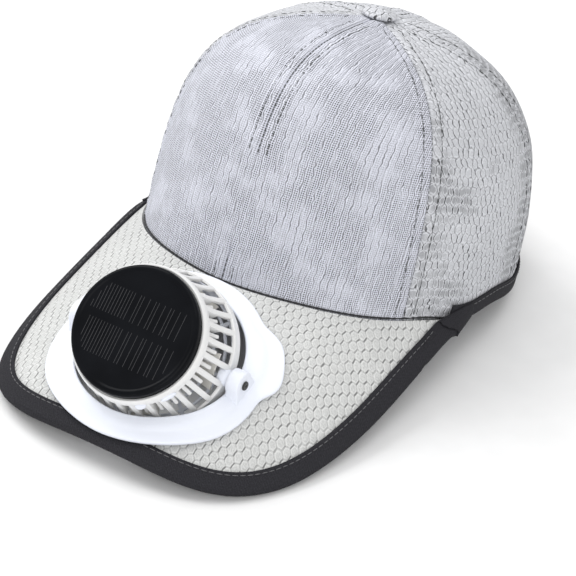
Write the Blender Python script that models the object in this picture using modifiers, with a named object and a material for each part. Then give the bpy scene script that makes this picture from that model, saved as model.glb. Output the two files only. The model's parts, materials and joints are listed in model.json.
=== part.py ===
"""Solar fan hat: a baseball cap whose peak carries a tilting fan with a solar panel on top.

Metres, +Z up, the front towards -Y. The cap is drawn as it is worn, under one empty that leans
it back until the tip of the peak and the rear hem stand on the floor.
"""
import math

import bmesh
import bpy
from mathutils import Matrix, Vector

# Head opening: half width, reach to the front and to the back, shape of the oval, rise of the hem to
# the back and over the ears
HEAD_HALF_WIDTH = 0.082
HEAD_FRONT = 0.1045
HEAD_BACK = 0.1005
HEAD_POWER = 0.95
SIDE_HEM = 0.0009
BACK_HEM = 0.0037
HEM_ARCH = 0.0037
HEM_ARCH_AT = math.radians(93.0)
HEM_ARCH_WIDTH = math.radians(11.0)

# Crown: height, place of the button, seams, and the outline of the wall at front, side and back
CROWN_HEIGHT = 0.1184
BUTTON_FORWARD = 0.0078
CLOTH = 0.0012
GAP = 0.0003
FRONT_SEAM = math.radians(57.3)
BACK_SEAM = math.radians(105.7)
WALL_LEAN = (-0.111, 0.043, -0.030)
WALL_RISE = (0.807, 0.673, 0.478)
WALL_FLAT = (0.958, 0.902, 0.595)
WALL_TOP = (0.992, 0.931, 1.060)
CROWN_END = 0.985
BUTTON_RADIUS = 0.0082
BUTTON_HEIGHT = 0.0042
BUTTON_RIM = 0.0010

# Opening at the back and the strap across it
ARCH_HALF_ANGLE = math.radians(31.0)
ARCH_END = 0.27
STRAP_HEIGHT = 0.018
STRAP_ABOVE_HEM = 0.002
STRAP_OVERLAP = math.radians(6.0)

# Peak: board, fall to the sides, slope to the front, outer edge
PEAK_BOARD = 0.0028
PEAK_END = math.radians(72.8)
PEAK_CORNER = math.radians(70.9)
PEAK_CORNER_BLEND = math.radians(4.6)
PEAK_MIDDLE = 0.00875
PEAK_FALL = 0.0384
PEAK_FALL_POWER = 2.6
PEAK_SLOPE = 0.505
PEAK_DROOP = 0.0149
PEAK_BESIDE_HEAD = 0.0027
PEAK_REACH = 0.0823
PEAK_SQUARE = 0.642
PEAK_WIDEST = 0.061
PEAK_TURN = math.radians(96.2)

# Bindings: folded tape with some slack round the edge that it holds
BINDING_WALL = 0.0008
BINDING_SLACK = 0.0005
HEM_SLACK = 0.00065
PEAK_BINDING = 0.0085
HEM_BINDING = 0.0075
HEM_BINDING_START = math.radians(75.9)

# Flange on the peak, with two wings, two ears and a ring below
FAN_FORWARD = 0.1487
HINGE_LIFT = 0.0050
HOLE_RADIUS = 0.0369
PEAK_HOLE_CLEARANCE = 0.0033
FLANGE = 0.0022
FLANGE_HALF_WIDTH = 0.049
FLANGE_HALF_DEPTH = 0.039
FLANGE_BACKWARD = 0.003
WING = 0.007
WING_ANGLE = 25.0
WING_SPREAD = 15.0
SEAT_GAP = 0.00045
TIP_LIFT = 0.0014
TIP_LIFT_START = 0.018
TIP_LIFT_LENGTH = 0.014
LIP_DROP = 0.0008
RING = 0.0016
RING_WIDTH = 0.0055
EAR_GAP = 0.0024
EAR_WIDTH = 0.0064
EAR_RADIUS = 0.0060
EAR_FOOT = 0.0085
PIN_RADIUS = 0.0026
CAP_RADIUS = 0.0021
CAP_THICKNESS = 0.0011

# Fan housing: heights along its axis from the hinge line
PANEL_PITCH = math.radians(59.4)
HOUSING_RADIUS = 0.0359
HOUSING_WALL = 0.0016
NECK_RADIUS = 0.0315
HOUSING_BELOW = 0.0060
SLOT_LOW = 0.0015
SLOT_HIGH = 0.0213
HOUSING_TOP = 0.0258
RIBS = 28
RIB = 0.0026
PLATE = 0.0015
BEZEL_INSET = 0.0005
HOUSING_TAPER = 0.0004
INNER_STEP = 0.0008
PANEL_RADIUS = 0.0290
PANEL_THICKNESS = 0.0048
PANEL_RIM = 0.0030
PANEL_SUNK = 0.0007
PANEL_PROUD = 0.0045
MOTOR_RADIUS = 0.0095
MOTOR_HEIGHT = 0.0135
MOTOR_CHAMFER = 0.0010
ROTOR_RADIUS = 0.0100
ROTOR_HEIGHT = 0.0121
ROTOR_CHAMFER = 0.0015
IMPELLER_RADIUS = 0.031
BLADES = 5
BLADE = 0.0012
BLADE_ROOT = 0.0085
BLADE_CHORD = (0.0100, 0.0170)
BLADE_PITCH = (42.0, 22.0)
GUARD = 0.0014
GUARD_RING = 0.0022
GUARD_HUB = 0.0100
GUARD_BARS = 4
GUARD_BAR = 0.0016

PEAK_HALF_WIDTH = HEAD_HALF_WIDTH + PEAK_BESIDE_HEAD
PANEL_LOW = HOUSING_TOP + PANEL_PROUD - PANEL_THICKNESS
PLATE_TOP = PANEL_LOW - GAP
MOTOR_TOP = PLATE_TOP - PLATE - GAP
ROTOR_TOP = MOTOR_TOP - MOTOR_HEIGHT - GAP
GUARD_LOW = -HOUSING_BELOW
EAR_INNER = HOUSING_RADIUS + EAR_GAP
EAR_OUTER = EAR_INNER + EAR_WIDTH
PEAK_HOLE_RADIUS = HOLE_RADIUS + PEAK_HOLE_CLEARANCE

CLOTH_GREY = (0.55, 0.55, 0.62)
MESH_GREY = (0.52, 0.55, 0.55)
PEAK_GREY = (0.60, 0.63, 0.60)
BINDING_BLACK = (0.03, 0.03, 0.035)
PLASTIC_WHITE = (0.90, 0.91, 0.93)
PANEL_BLACK = (0.012, 0.013, 0.016)
METAL_GREY = (0.25, 0.25, 0.22)


def by_quarter(angle, values):
    """Blend of a front, a side and a back value round the head."""
    front, side, back = values
    cos = math.cos(angle)
    return front * max(cos, 0) ** 2 + back * max(-cos, 0) ** 2 + side * math.sin(angle) ** 2


def hem_plan(angle):
    """Point of the head opening seen from above, angle 0 at the front."""
    sin, cos = math.sin(angle), math.cos(angle)
    reach = HEAD_FRONT if cos > 0 else HEAD_BACK
    x = math.copysign(HEAD_HALF_WIDTH * abs(sin) ** HEAD_POWER, sin)
    y = -math.copysign(reach * abs(cos) ** HEAD_POWER, cos)
    return x, y


def peak_height(x, y):
    """Height of the middle of the peak's board."""
    ahead = -HEAD_FRONT - y
    fall = PEAK_FALL * (abs(x) / HEAD_HALF_WIDTH) ** PEAK_FALL_POWER
    return PEAK_MIDDLE - fall - PEAK_SLOPE * ahead - PEAK_DROOP * (max(ahead, 0) / PEAK_REACH) ** 2


def peak_share(angle):
    """1 where the hem follows the peak, 0 where it follows the side."""
    return 1 / (1 + math.exp((abs(angle) - PEAK_CORNER) / PEAK_CORNER_BLEND))


def hem(angle):
    """Point of the hem."""
    x, y = hem_plan(angle)
    share = peak_share(angle)
    arch = HEM_ARCH * math.exp(-((abs(angle) - HEM_ARCH_AT) / HEM_ARCH_WIDTH) ** 2)
    side = SIDE_HEM + BACK_HEM * y / HEAD_BACK + arch
    return Vector((x, y, share * peak_height(x, y) + (1 - share) * side))


def crown(angle, t):
    """Point in the middle of the crown's cloth, t from 0 at the hem to 1 under the button."""
    low = hem(angle)
    u = 1 - t
    lean, rise = by_quarter(angle, WALL_LEAN), by_quarter(angle, WALL_RISE)
    flat, top = by_quarter(angle, WALL_FLAT), by_quarter(angle, WALL_TOP)
    reach = u ** 3 + 3 * u * u * t * (1 + lean) + 3 * u * t * t * flat
    climb = 3 * u * u * t * rise + 3 * u * t * t * top + t ** 3
    below = PEAK_BOARD / 2 * peak_share(angle) * u ** 12
    return Vector((low.x * reach, low.y * reach - BUTTON_FORWARD * (1 - reach),
                   low.z + (CROWN_HEIGHT - low.z) * climb - below))


def crown_normal(angle, t):
    """Outward direction of the crown's cloth."""
    across = crown(angle + 0.01, t) - crown(angle - 0.01, t)
    upward = crown(angle, t + 0.004) - crown(angle, t - 0.004)
    return across.cross(upward).normalized()


def crown_share(angle, height):
    """Value of t at a height above the hem."""
    t = 0.0
    while crown(angle, t).z - crown(angle, 0).z < height:
        t += 0.001
    return t


def peak_edge(k):
    """Point of the outer edge of the peak's board, k from -1 to 1."""
    sin, cos = math.sin(k * PEAK_TURN), math.cos(k * PEAK_TURN)
    x = math.copysign(PEAK_HALF_WIDTH * abs(sin) ** PEAK_SQUARE, sin)
    reach = HEAD_FRONT + PEAK_REACH - PEAK_WIDEST
    return x, -PEAK_WIDEST - math.copysign(reach * abs(cos) ** PEAK_SQUARE, cos)


def peak_point(k, s):
    """Point in the middle of the peak's board, s from 0 at the crown to 1 at the outer edge."""
    angle = k * PEAK_END
    low = hem(angle)
    out = crown_normal(angle, 0).to_2d().normalized() * (CLOTH / 2 + BINDING_SLACK)
    x0, y0 = low.x + out.x, low.y + out.y
    x1, y1 = peak_edge(k)
    x, y = x0 + (x1 - x0) * s, y0 + (y1 - y0) * s
    step = low.z - peak_height(low.x, low.y)
    return Vector((x, y, peak_height(x, y) + step * (1 - s * (1 - k ** 16)) ** 2))


def peak_columns(count):
    """Values of k at even steps along the outer edge."""
    fine = [i / 400 for i in range(-400, 401)]
    lengths = [0.0]
    for a, b in zip(fine, fine[1:]):
        lengths.append(lengths[-1] + math.dist(peak_edge(a), peak_edge(b)))
    columns, i = [-1.0], 0
    for step in range(1, count - 1):
        while lengths[i] < lengths[-1] * step / (count - 1):
            i += 1
        columns.append(fine[i])
    return columns + [1.0]


def peak_normal(x, y):
    """Upward direction of the peak's board."""
    d = 0.0002
    gx = (peak_height(x + d, y) - peak_height(x - d, y)) / (2 * d)
    gy = (peak_height(x, y + d) - peak_height(x, y - d)) / (2 * d)
    return Vector((-gx, -gy, 1)).normalized()


def hub():
    """Middle of the hinge line, which crosses the middle of the hole in the peak."""
    y = -FAN_FORWARD
    return Vector((0, y, peak_height(0, y) + HINGE_LIFT))


def hole_pitch():
    """Slope of the peak under the fan."""
    normal = peak_normal(0, -FAN_FORWARD)
    return math.atan2(-normal.y, normal.z)


def collection(name):
    """New collection in the scene."""
    made = bpy.data.collections.new(name)
    bpy.context.scene.collection.children.link(made)
    return made


def material(name, colour, roughness):
    """Principled material of one sub-part."""
    made = bpy.data.materials.new(name)
    made.use_nodes = True
    shader = made.node_tree.nodes["Principled BSDF"]
    shader.inputs["Base Color"].default_value = (*colour, 1)
    shader.inputs["Roughness"].default_value = roughness
    made.diffuse_color = (*colour, 1)
    return made


def link(name, mesh, colour, roughness, parent, group="solar_fan_hat"):
    """Object of a mesh with its material, under an empty."""
    made = bpy.data.objects.new(name, mesh)
    bpy.data.collections[group].objects.link(made)
    made.parent = parent
    mesh.materials.append(material(name, colour, roughness))
    mesh.shade_smooth()
    mesh.set_sharp_from_angle(angle=math.radians(35))
    return made


def lofted(name, points, faces, colour, roughness=0.8, parent=None, group="solar_fan_hat"):
    """Object from a loft's points and faces, its faces turned outward."""
    mesh = bpy.data.meshes.new(name)
    mesh.from_pydata([tuple(p) for p in points], [], faces)
    shape = bmesh.new()
    shape.from_mesh(mesh)
    bmesh.ops.recalc_face_normals(shape, faces=shape.faces)
    shape.to_mesh(mesh)
    shape.free()
    return link(name, mesh, colour, roughness, parent, group)


def rod(name, radius, length, place, steps, colour, parent, group="solar_fan_hat"):
    """Cylinder whose middle and direction come from a matrix."""
    mesh = bpy.data.meshes.new(name)
    shape = bmesh.new()
    bmesh.ops.create_cone(shape, cap_ends=True, segments=steps, radius1=radius, radius2=radius,
                          depth=length, matrix=place)
    shape.to_mesh(mesh)
    shape.free()
    return link(name, mesh, colour, 0.4, parent, group)


def boxes(name, size, places, parent):
    """Helper made of equal boxes."""
    mesh = bpy.data.meshes.new(name)
    shape = bmesh.new()
    for place in places:
        bmesh.ops.create_cube(shape, size=1, matrix=place @ Matrix.Diagonal((*size, 1)))
    shape.to_mesh(mesh)
    shape.free()
    return link(name, mesh, PLASTIC_WHITE, 0.4, parent, "cutters")


def turned(name, profile, steps, colour, roughness, parent):
    """Profile from the axis down the outer side and back to the axis, turned about Z."""
    mesh = bpy.data.meshes.new(name)
    edges = [(i, i + 1) for i in range(len(profile) - 1)]
    mesh.from_pydata([(radius, 0, height) for radius, height in profile], edges, [])
    made = link(name, mesh, colour, roughness, parent)
    screw = made.modifiers.new("turn", "SCREW")
    screw.steps = screw.render_steps = steps
    screw.merge_threshold = 1e-6
    screw.use_merge_vertices = True
    return made


def solidify(made, thickness):
    """Give a sheet its thickness, half to each side."""
    layer = made.modifiers.new("thickness", "SOLIDIFY")
    layer.thickness = thickness
    layer.offset = 0
    layer.use_even_offset = True


def combine(made, helper, operation):
    """Join or cut with a helper that is kept out of the render."""
    cut = made.modifiers.new(helper.name, "BOOLEAN")
    cut.operation = operation
    cut.object = helper
    helper.hide_render = True
    helper.display_type = "WIRE"


def grid_faces(rows, columns, closed=False):
    """Quads of a grid of points that runs row by row."""
    last = columns if closed else columns - 1
    return [(r * columns + c, r * columns + (c + 1) % columns,
             (r + 1) * columns + (c + 1) % columns, (r + 1) * columns + c)
            for r in range(rows - 1) for c in range(last)]


def shell_faces(rows, columns):
    """Faces of a closed shell between two equal grids that follow each other."""
    count = rows * columns
    near = grid_faces(rows, columns)
    rim = list(range(columns)) + [r * columns + columns - 1 for r in range(1, rows)]
    rim += [(rows - 1) * columns + c for c in range(columns - 2, -1, -1)]
    rim += [r * columns for r in range(rows - 2, 0, -1)]
    sides = [(a, b, b + count, a + count) for a, b in zip(rim, rim[1:] + rim[:1])]
    return near + [tuple(v + count for v in face) for face in near] + sides


def crown_sheet(name, columns, rows, colour, rest):
    """Cloth of the crown. A column holds an angle, its lower end and its side of the panel, -1 to 1."""
    points = []
    for r in range(rows):
        for angle, low, side in columns:
            t = low + (CROWN_END - low) * r / (rows - 1)
            reach = (crown(angle, t) - crown(angle, 1)).to_2d().length
            points.append(crown(angle - side * GAP / 2 / reach, t))
    made = lofted(name, points, grid_faces(rows, len(columns)), colour, parent=rest)
    solidify(made, CLOTH)


def crown_panel(name, start, end, count, colour, rest):
    """Panel of the crown between two seams."""
    shares = [i / (count - 1) for i in range(count)]
    columns = [(start + (end - start) * share, 0.0, 2 * share - 1) for share in shares]
    crown_sheet(name, columns, 10, colour, rest)


def arch_column(phi):
    """Angle and lower end of a column beside the rear opening, phi 0 at the corner, 90 in the middle."""
    phi = math.radians(phi)
    return math.pi - ARCH_HALF_ANGLE * max(math.cos(phi), 0) ** 0.9, ARCH_END * math.sin(phi) ** 0.8


def back_panel(name, side, colour, rest):
    """Panel of the crown beside the opening at the back."""
    corner = math.pi - ARCH_HALF_ANGLE
    marks = [(BACK_SEAM + (corner - BACK_SEAM) * i / 5, 0.0) for i in range(5)]
    marks += [arch_column(9 * i) for i in range(11)]
    last = len(marks) - 1
    columns = [(side * angle, low, side * (2 * i / last - 1)) for i, (angle, low) in enumerate(marks)]
    crown_sheet(name, columns, 10, colour, rest)


def inside(surface, u, v, inward, distance):
    """Parameters of the surface point that lies a distance inward from the point at u, v."""
    for _ in range(2):
        along_u = (surface(u + 0.001, v) - surface(u - 0.001, v)) / 0.002
        along_v = (surface(u, v + 0.001) - surface(u, v - 0.001)) / 0.002
        step = inward * distance / 2
        uu, uv, vv = along_u.dot(along_u), along_u.dot(along_v), along_v.dot(along_v)
        scale = uu * vv - uv * uv
        a, b = along_u.dot(step), along_v.dot(step)
        u, v = u + (a * vv - b * uv) / scale, v + (b * uu - a * uv) / scale
    return u, v


def surface_normal(surface, u, v, away):
    """Unit normal of a surface on the side that faces away from a point."""
    along_u = surface(u + 0.001, v) - surface(u - 0.001, v)
    along_v = surface(u, v + 0.001) - surface(u, v - 0.001)
    normal = along_u.cross(along_v).normalized()
    return normal if normal.dot(surface(u, v) - away) > 0 else -normal


def edge_direction(places, i):
    """Direction of an edge at one of its points, and the stretch that a mitre needs there."""
    before = (places[i] - places[max(i - 1, 0)]).normalized()
    after = (places[min(i + 1, len(places) - 1)] - places[i]).normalized()
    before, after = (before if i else after), (after if i + 1 < len(places) else before)
    along = (before + after).normalized()
    return along, 1 / max(along.dot(after), 0.6)


def binding(name, surface, away, marks, widths, board, slack, rest):
    """Folded tape over the edge of a sheet. The marks are the edge's points in the sheet's parameters."""
    places = [surface(u, v) for u, v in marks]
    inner = board / 2 + slack
    outer = inner + BINDING_WALL
    points, count = [], 14
    for i, ((u, v), width) in enumerate(zip(marks, widths)):
        along, stretch = edge_direction(places, i)
        fold = surface_normal(surface, u, v, away)
        inward = fold.cross(along) * stretch
        middle = inside(surface, u, v, inward, width / 2)
        end = inside(surface, u, v, inward, width)
        half, half_normal = surface(*middle), surface_normal(surface, *middle, away)
        tip, tip_normal = surface(*end), surface_normal(surface, *end, away)
        edge, far = places[i] - inward * slack, places[i] - inward * (slack + BINDING_WALL)
        points += [tip + tip_normal * inner, half + half_normal * inner, edge + fold * inner,
                   edge - fold * inner, half - half_normal * inner, tip - tip_normal * inner,
                   tip - tip_normal * outer, half - half_normal * outer, places[i] - fold * outer,
                   far - fold * outer / 2, far + fold * outer / 2, places[i] + fold * outer,
                   half + half_normal * outer, tip + tip_normal * outer]
    faces = grid_faces(len(marks), count, closed=True)
    ends = ((0, 1, 12, 13), (1, 2, 11, 12), (2, 10, 11), (2, 3, 9, 10), (3, 8, 9), (3, 4, 7, 8), (4, 5, 6, 7))
    for low in (0, (len(marks) - 1) * count):
        faces += [tuple(low + corner for corner in end) for end in ends]
    return lofted(name, points, faces, BINDING_BLACK, parent=rest)


def build_crown(rest):
    """Five panels of cloth and the button."""
    crown_panel("crown_front", -FRONT_SEAM, FRONT_SEAM, 19, CLOTH_GREY, rest)
    crown_panel("crown_side_left", FRONT_SEAM, BACK_SEAM, 8, MESH_GREY, rest)
    crown_panel("crown_side_right", -BACK_SEAM, -FRONT_SEAM, 8, MESH_GREY, rest)
    back_panel("crown_back_left", 1, MESH_GREY, rest)
    back_panel("crown_back_right", -1, MESH_GREY, rest)
    dome = [(BUTTON_RADIUS * math.sin(a), BUTTON_RIM + (BUTTON_HEIGHT - BUTTON_RIM) * math.cos(a))
            for a in (0, 0.32, 0.7, 1.12, math.pi / 2)]
    profile = dome + [(BUTTON_RADIUS - BUTTON_RIM / 2, 0), (0, 0)]
    button = turned("top_button", profile, 20, CLOTH_GREY, 0.8, rest)
    button.location = (0, -BUTTON_FORWARD, CROWN_HEIGHT + CLOTH / 2 + 2 * GAP)


def build_peak(rest):
    """Board of the peak with its hole, and its binding."""
    rows, columns = 8, peak_columns(39)
    upper, lower = [], []
    for r in range(rows):
        for k in columns:
            place = peak_point(k, 1 - (1 - r / (rows - 1)) ** 1.3)
            normal = peak_normal(place.x, place.y)
            lift = normal if r else Vector((0, 0, 1 / normal.z))
            upper.append(place + lift * PEAK_BOARD / 2)
            lower.append(place - lift * PEAK_BOARD / 2)
    peak = lofted("peak", upper + lower, shell_faces(rows, len(columns)), PEAK_GREY, parent=rest)
    place = Matrix.Translation(hub()) @ Matrix.Rotation(hole_pitch(), 4, "X")
    depth = 2 * PEAK_HOLE_RADIUS
    combine(peak, rod("fan_hole", PEAK_HOLE_RADIUS, depth, place, 40, PEAK_GREY, rest, "cutters"), "DIFFERENCE")
    marks = [(k, 1.0) for k in columns]
    end_clearance = CLOTH / 2 + 2 * BINDING_SLACK
    widths = [min(PEAK_BINDING, (peak_point(k, 0) - peak_point(k, 1)).length - end_clearance) for k in columns]
    binding("peak_binding", peak_point, Vector((0, 0, -1)), marks, widths, PEAK_BOARD, BINDING_SLACK, rest)


def build_edges(rest):
    """Binding of the side hems and of the rear opening, and the strap across it."""
    corner = math.pi - ARCH_HALF_ANGLE
    half = [(HEM_BINDING_START + (corner - HEM_BINDING_START) * i / 10, 0.0) for i in range(10)]
    half += [arch_column(9 * i) for i in range(11)]
    marks = half + [(2 * math.pi - angle, t) for angle, t in reversed(half[:-1])]
    centre = Vector((0, 0, CROWN_HEIGHT / 4))
    binding("hem_binding", crown, centre, marks, [HEM_BINDING] * len(marks), CLOTH, HEM_SLACK, rest)
    depth = CLOTH + HEM_SLACK + BINDING_WALL + GAP
    start, steps = corner - STRAP_OVERLAP, 12
    points = []
    for height in (STRAP_ABOVE_HEM, STRAP_ABOVE_HEM + STRAP_HEIGHT):
        for i in range(steps + 1):
            angle = start + (2 * math.pi - 2 * start) * i / steps
            t = crown_share(angle, height)
            points.append(crown(angle, t) - crown_normal(angle, t) * depth)
    strap = lofted("rear_strap", points, grid_faces(2, steps + 1), BINDING_BLACK, parent=rest)
    solidify(strap, CLOTH)


def flange_outline(phi):
    """Outer edge of the flange seen from above, with its two wings."""
    across, along = math.cos(phi) / FLANGE_HALF_WIDTH, math.sin(phi) / FLANGE_HALF_DEPTH
    turn = math.degrees(math.atan2(math.sin(phi), abs(math.cos(phi))))
    radius = 1 / math.hypot(across, along) + WING * math.exp(-((turn - WING_ANGLE) / WING_SPREAD) ** 4)
    return radius * math.cos(phi), -FAN_FORWARD + FLANGE_BACKWARD + radius * math.sin(phi)


def hole_outline(phi, radius):
    """Point on the peak of a cylinder round the fan's hole, seen from above."""
    x, y, slope = radius * math.cos(phi), 0.0, math.tan(hole_pitch())
    for _ in range(12):
        rise = peak_height(x, y - FAN_FORWARD) - hub().z
        y = radius * math.sin(phi) / math.cos(hole_pitch()) - rise * slope
    return x, y - FAN_FORWARD


def plate_lift(y, thickness):
    """Distance of a plate's middle from the board's, more over the binding at the tip of the peak."""
    tip = -HEAD_FRONT - PEAK_REACH + PEAK_BINDING
    ahead = min(max((tip + TIP_LIFT_START - y) / TIP_LIFT_LENGTH, 0), 1)
    return PEAK_BOARD / 2 + SEAT_GAP + thickness / 2 + TIP_LIFT * ahead * ahead * (3 - 2 * ahead)


def collar(name, hole, outline, rows, steps, side, thickness, rest):
    """Plate round the fan hole, over or under the board. Rows pair a share of the way out with a drop."""
    points = []
    for share, drop in rows:
        for i in range(steps):
            phi = 2 * math.pi * i / steps
            (x0, y0), (x1, y1) = hole_outline(phi, hole), outline(phi)
            x, y = x0 + (x1 - x0) * share, y0 + (y1 - y0) * share
            lift = side * plate_lift(y, thickness) - drop
            points.append(Vector((x, y, peak_height(x, y))) + peak_normal(x, y) * lift)
    made = lofted(name, points, grid_faces(len(rows), steps, closed=True), PLASTIC_WHITE, 0.35, rest)
    solidify(made, thickness)
    return made


def ear(name, side, place, rest):
    """Lug that carries one end of the hinge, its foot inside the flange."""
    rim = [(EAR_RADIUS * math.cos(math.pi * i / 10), EAR_RADIUS * math.sin(math.pi * i / 10)) for i in range(11)]
    points = []
    for x in (side * EAR_INNER, side * EAR_OUTER):
        points += [place @ Vector((x, y, z)) for y, z in rim]
        for y in (-EAR_FOOT, EAR_FOOT):
            foot = place @ Vector((x, y, -EAR_RADIUS))
            rise = plate_lift(foot.y, FLANGE) / peak_normal(foot.x, foot.y).z
            points.append(Vector((foot.x, foot.y, peak_height(foot.x, foot.y) + rise)))
    count = len(rim) + 2
    faces = [tuple(range(count)), tuple(range(2 * count - 1, count - 1, -1))]
    faces += grid_faces(2, count, closed=True)
    return lofted(name, points, faces, PLASTIC_WHITE, 0.35, rest, "cutters")


def build_flange(rest):
    """Flange on the peak, its ears with their pivot caps, and the ring below."""
    rows = [(0, LIP_DROP), (0.04, LIP_DROP / 3), (0.10, 0), (0.5, 0), (1, 0)]
    flange = collar("fan_flange", HOLE_RADIUS, flange_outline, rows, 52, 1, FLANGE, rest)
    place = Matrix.Translation(hub()) @ Matrix.Rotation(hole_pitch(), 4, "X")
    across = Matrix.Rotation(math.pi / 2, 4, "Y")
    for side, word in ((1, "left"), (-1, "right")):
        combine(flange, ear(f"ear_{word}", side, place, rest), "UNION")
        length = 2 * (pin_end() + GAP - EAR_INNER)
        middle = place @ Matrix.Translation((side * EAR_INNER, 0, 0)) @ across
        bore = rod(f"bore_{word}", PIN_RADIUS + GAP, length, middle, 20, PLASTIC_WHITE, rest, "cutters")
        combine(flange, bore, "DIFFERENCE")
        middle = place @ Matrix.Translation((side * (EAR_OUTER + GAP + CAP_THICKNESS / 2), 0, 0)) @ across
        rod(f"pivot_cap_{word}", CAP_RADIUS, CAP_THICKNESS, middle, 16, BINDING_BLACK, rest)
    under = PEAK_HOLE_RADIUS + RING_WIDTH
    collar("retaining_ring", PEAK_HOLE_RADIUS, lambda phi: hole_outline(phi, under), [(0, 0), (1, 0)], 40, -1,
           RING, rest)


def pin_end():
    """Outer end of the housing's pins, inside the ears."""
    return EAR_OUTER - EAR_WIDTH / 3


def build_housing(hinge):
    """Slotted housing with the plate under the solar panel and the two hinge pins."""
    inner, seat = HOUSING_RADIUS - HOUSING_WALL, PANEL_RADIUS + GAP
    bezel, chamfer = NECK_RADIUS - BEZEL_INSET, (NECK_RADIUS - PANEL_RADIUS) / 3
    profile = [(0, PLATE_TOP), (seat, PLATE_TOP), (seat, HOUSING_TOP - chamfer / 3), (seat + chamfer, HOUSING_TOP),
               (bezel, HOUSING_TOP - chamfer), (NECK_RADIUS, SLOT_HIGH),
               (HOUSING_RADIUS, SLOT_LOW), (HOUSING_RADIUS - HOUSING_TAPER, -HOUSING_BELOW), (inner, -HOUSING_BELOW),
               (inner, SLOT_LOW), (NECK_RADIUS - HOUSING_WALL, SLOT_HIGH - INNER_STEP),
               (seat - INNER_STEP, PLATE_TOP - PLATE), (0, PLATE_TOP - PLATE)]
    housing = turned("fan_housing", profile, 2 * RIBS, PLASTIC_WHITE, 0.35, hinge)
    deep, high = 4 * HOUSING_WALL, SLOT_HIGH - SLOT_LOW
    middle = (NECK_RADIUS + HOUSING_RADIUS - HOUSING_WALL) / 2
    wide = 2 * math.pi * middle / RIBS - RIB
    lean = math.atan2(HOUSING_RADIUS - NECK_RADIUS, high)
    place = Matrix.Translation((middle, 0, (SLOT_HIGH + SLOT_LOW) / 2)) @ Matrix.Rotation(-lean, 4, "Y")
    places = [Matrix.Rotation(2 * math.pi * (i + 0.5) / RIBS, 4, "Z") @ place for i in range(RIBS)]
    combine(housing, boxes("slots", (deep, wide, high), places, hinge), "DIFFERENCE")
    start, across = HOUSING_RADIUS - HOUSING_WALL / 2, Matrix.Rotation(math.pi / 2, 4, "Y")
    for side, word in ((1, "left"), (-1, "right")):
        middle = Matrix.Translation((side * (start + pin_end()) / 2, 0, 0)) @ across
        pin = rod(f"pin_{word}", PIN_RADIUS, pin_end() - start, middle, 20, PLASTIC_WHITE, hinge, "cutters")
        combine(housing, pin, "UNION")


def build_panel(hinge):
    """Solar panel with its raised round rim."""
    top = PANEL_LOW + PANEL_THICKNESS
    glass, edge = top - PANEL_SUNK, PANEL_RIM / 4
    profile = [(0, glass), (PANEL_RADIUS - PANEL_RIM, glass), (PANEL_RADIUS - PANEL_RIM * 0.7, top),
               (PANEL_RADIUS - edge, top - edge / 6), (PANEL_RADIUS, top - edge), (PANEL_RADIUS, PANEL_LOW),
               (0, PANEL_LOW)]
    turned("solar_panel", profile, 56, PANEL_BLACK, 0.15, hinge)


def build_fan(hinge):
    """Motor, impeller and guard inside the housing."""
    low = MOTOR_TOP - MOTOR_HEIGHT
    profile = [(0, MOTOR_TOP), (MOTOR_RADIUS, MOTOR_TOP), (MOTOR_RADIUS, low + MOTOR_CHAMFER),
               (MOTOR_RADIUS - MOTOR_CHAMFER, low), (0, low)]
    turned("fan_motor", profile, 24, METAL_GREY, 0.5, hinge)
    low = ROTOR_TOP - ROTOR_HEIGHT
    profile = [(0, ROTOR_TOP), (ROTOR_RADIUS, ROTOR_TOP), (ROTOR_RADIUS, low + ROTOR_CHAMFER),
               (ROTOR_RADIUS - ROTOR_CHAMFER, low), (0, low)]
    rotor = turned("fan_impeller", profile, 24, PLASTIC_WHITE, 0.4, hinge)
    for i in range(BLADES):
        combine(rotor, blade(f"blade_{i}", 2 * math.pi * i / BLADES, ROTOR_TOP - ROTOR_HEIGHT / 2, hinge), "UNION")
    outer, top = HOUSING_RADIUS - HOUSING_WALL - GAP, GUARD_LOW + GUARD
    profile = [(outer - GUARD_RING, top), (outer, top), (outer, GUARD_LOW), (outer - GUARD_RING, GUARD_LOW),
               (outer - GUARD_RING, top)]
    guard = turned("fan_guard", profile, 32, PLASTIC_WHITE, 0.4, hinge)
    middle = (top + GUARD_LOW) / 2
    centre = Matrix.Translation((0, 0, middle))
    combine(guard, rod("guard_hub", GUARD_HUB, GUARD, centre, 24, PLASTIC_WHITE, hinge, "cutters"), "UNION")
    for i in range(GUARD_BARS):
        place = centre @ Matrix.Rotation(math.pi * i / GUARD_BARS, 4, "Z")
        size = (2 * (outer - GUARD_RING / 2), GUARD_BAR, GUARD / 2)
        combine(guard, boxes(f"guard_bar_{i}", size, [place], hinge), "UNION")


def blade(name, turn, height, hinge):
    """Twisted blade of the impeller."""
    points, steps = [], 5
    for i in range(steps + 1):
        share = i / steps
        radius = BLADE_ROOT + (IMPELLER_RADIUS - BLADE_ROOT) * share
        half = (BLADE_CHORD[0] + (BLADE_CHORD[1] - BLADE_CHORD[0]) * share) / 2
        pitch = math.radians(BLADE_PITCH[0] + (BLADE_PITCH[1] - BLADE_PITCH[0]) * share)
        for end in (-half, half):
            points.append((radius, end * math.cos(pitch), height + end * math.sin(pitch)))
    made = lofted(name, points, grid_faces(steps + 1, 2), PLASTIC_WHITE, 0.4, hinge, "cutters")
    made.rotation_euler.z = turn
    solidify(made, BLADE)
    return made


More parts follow.
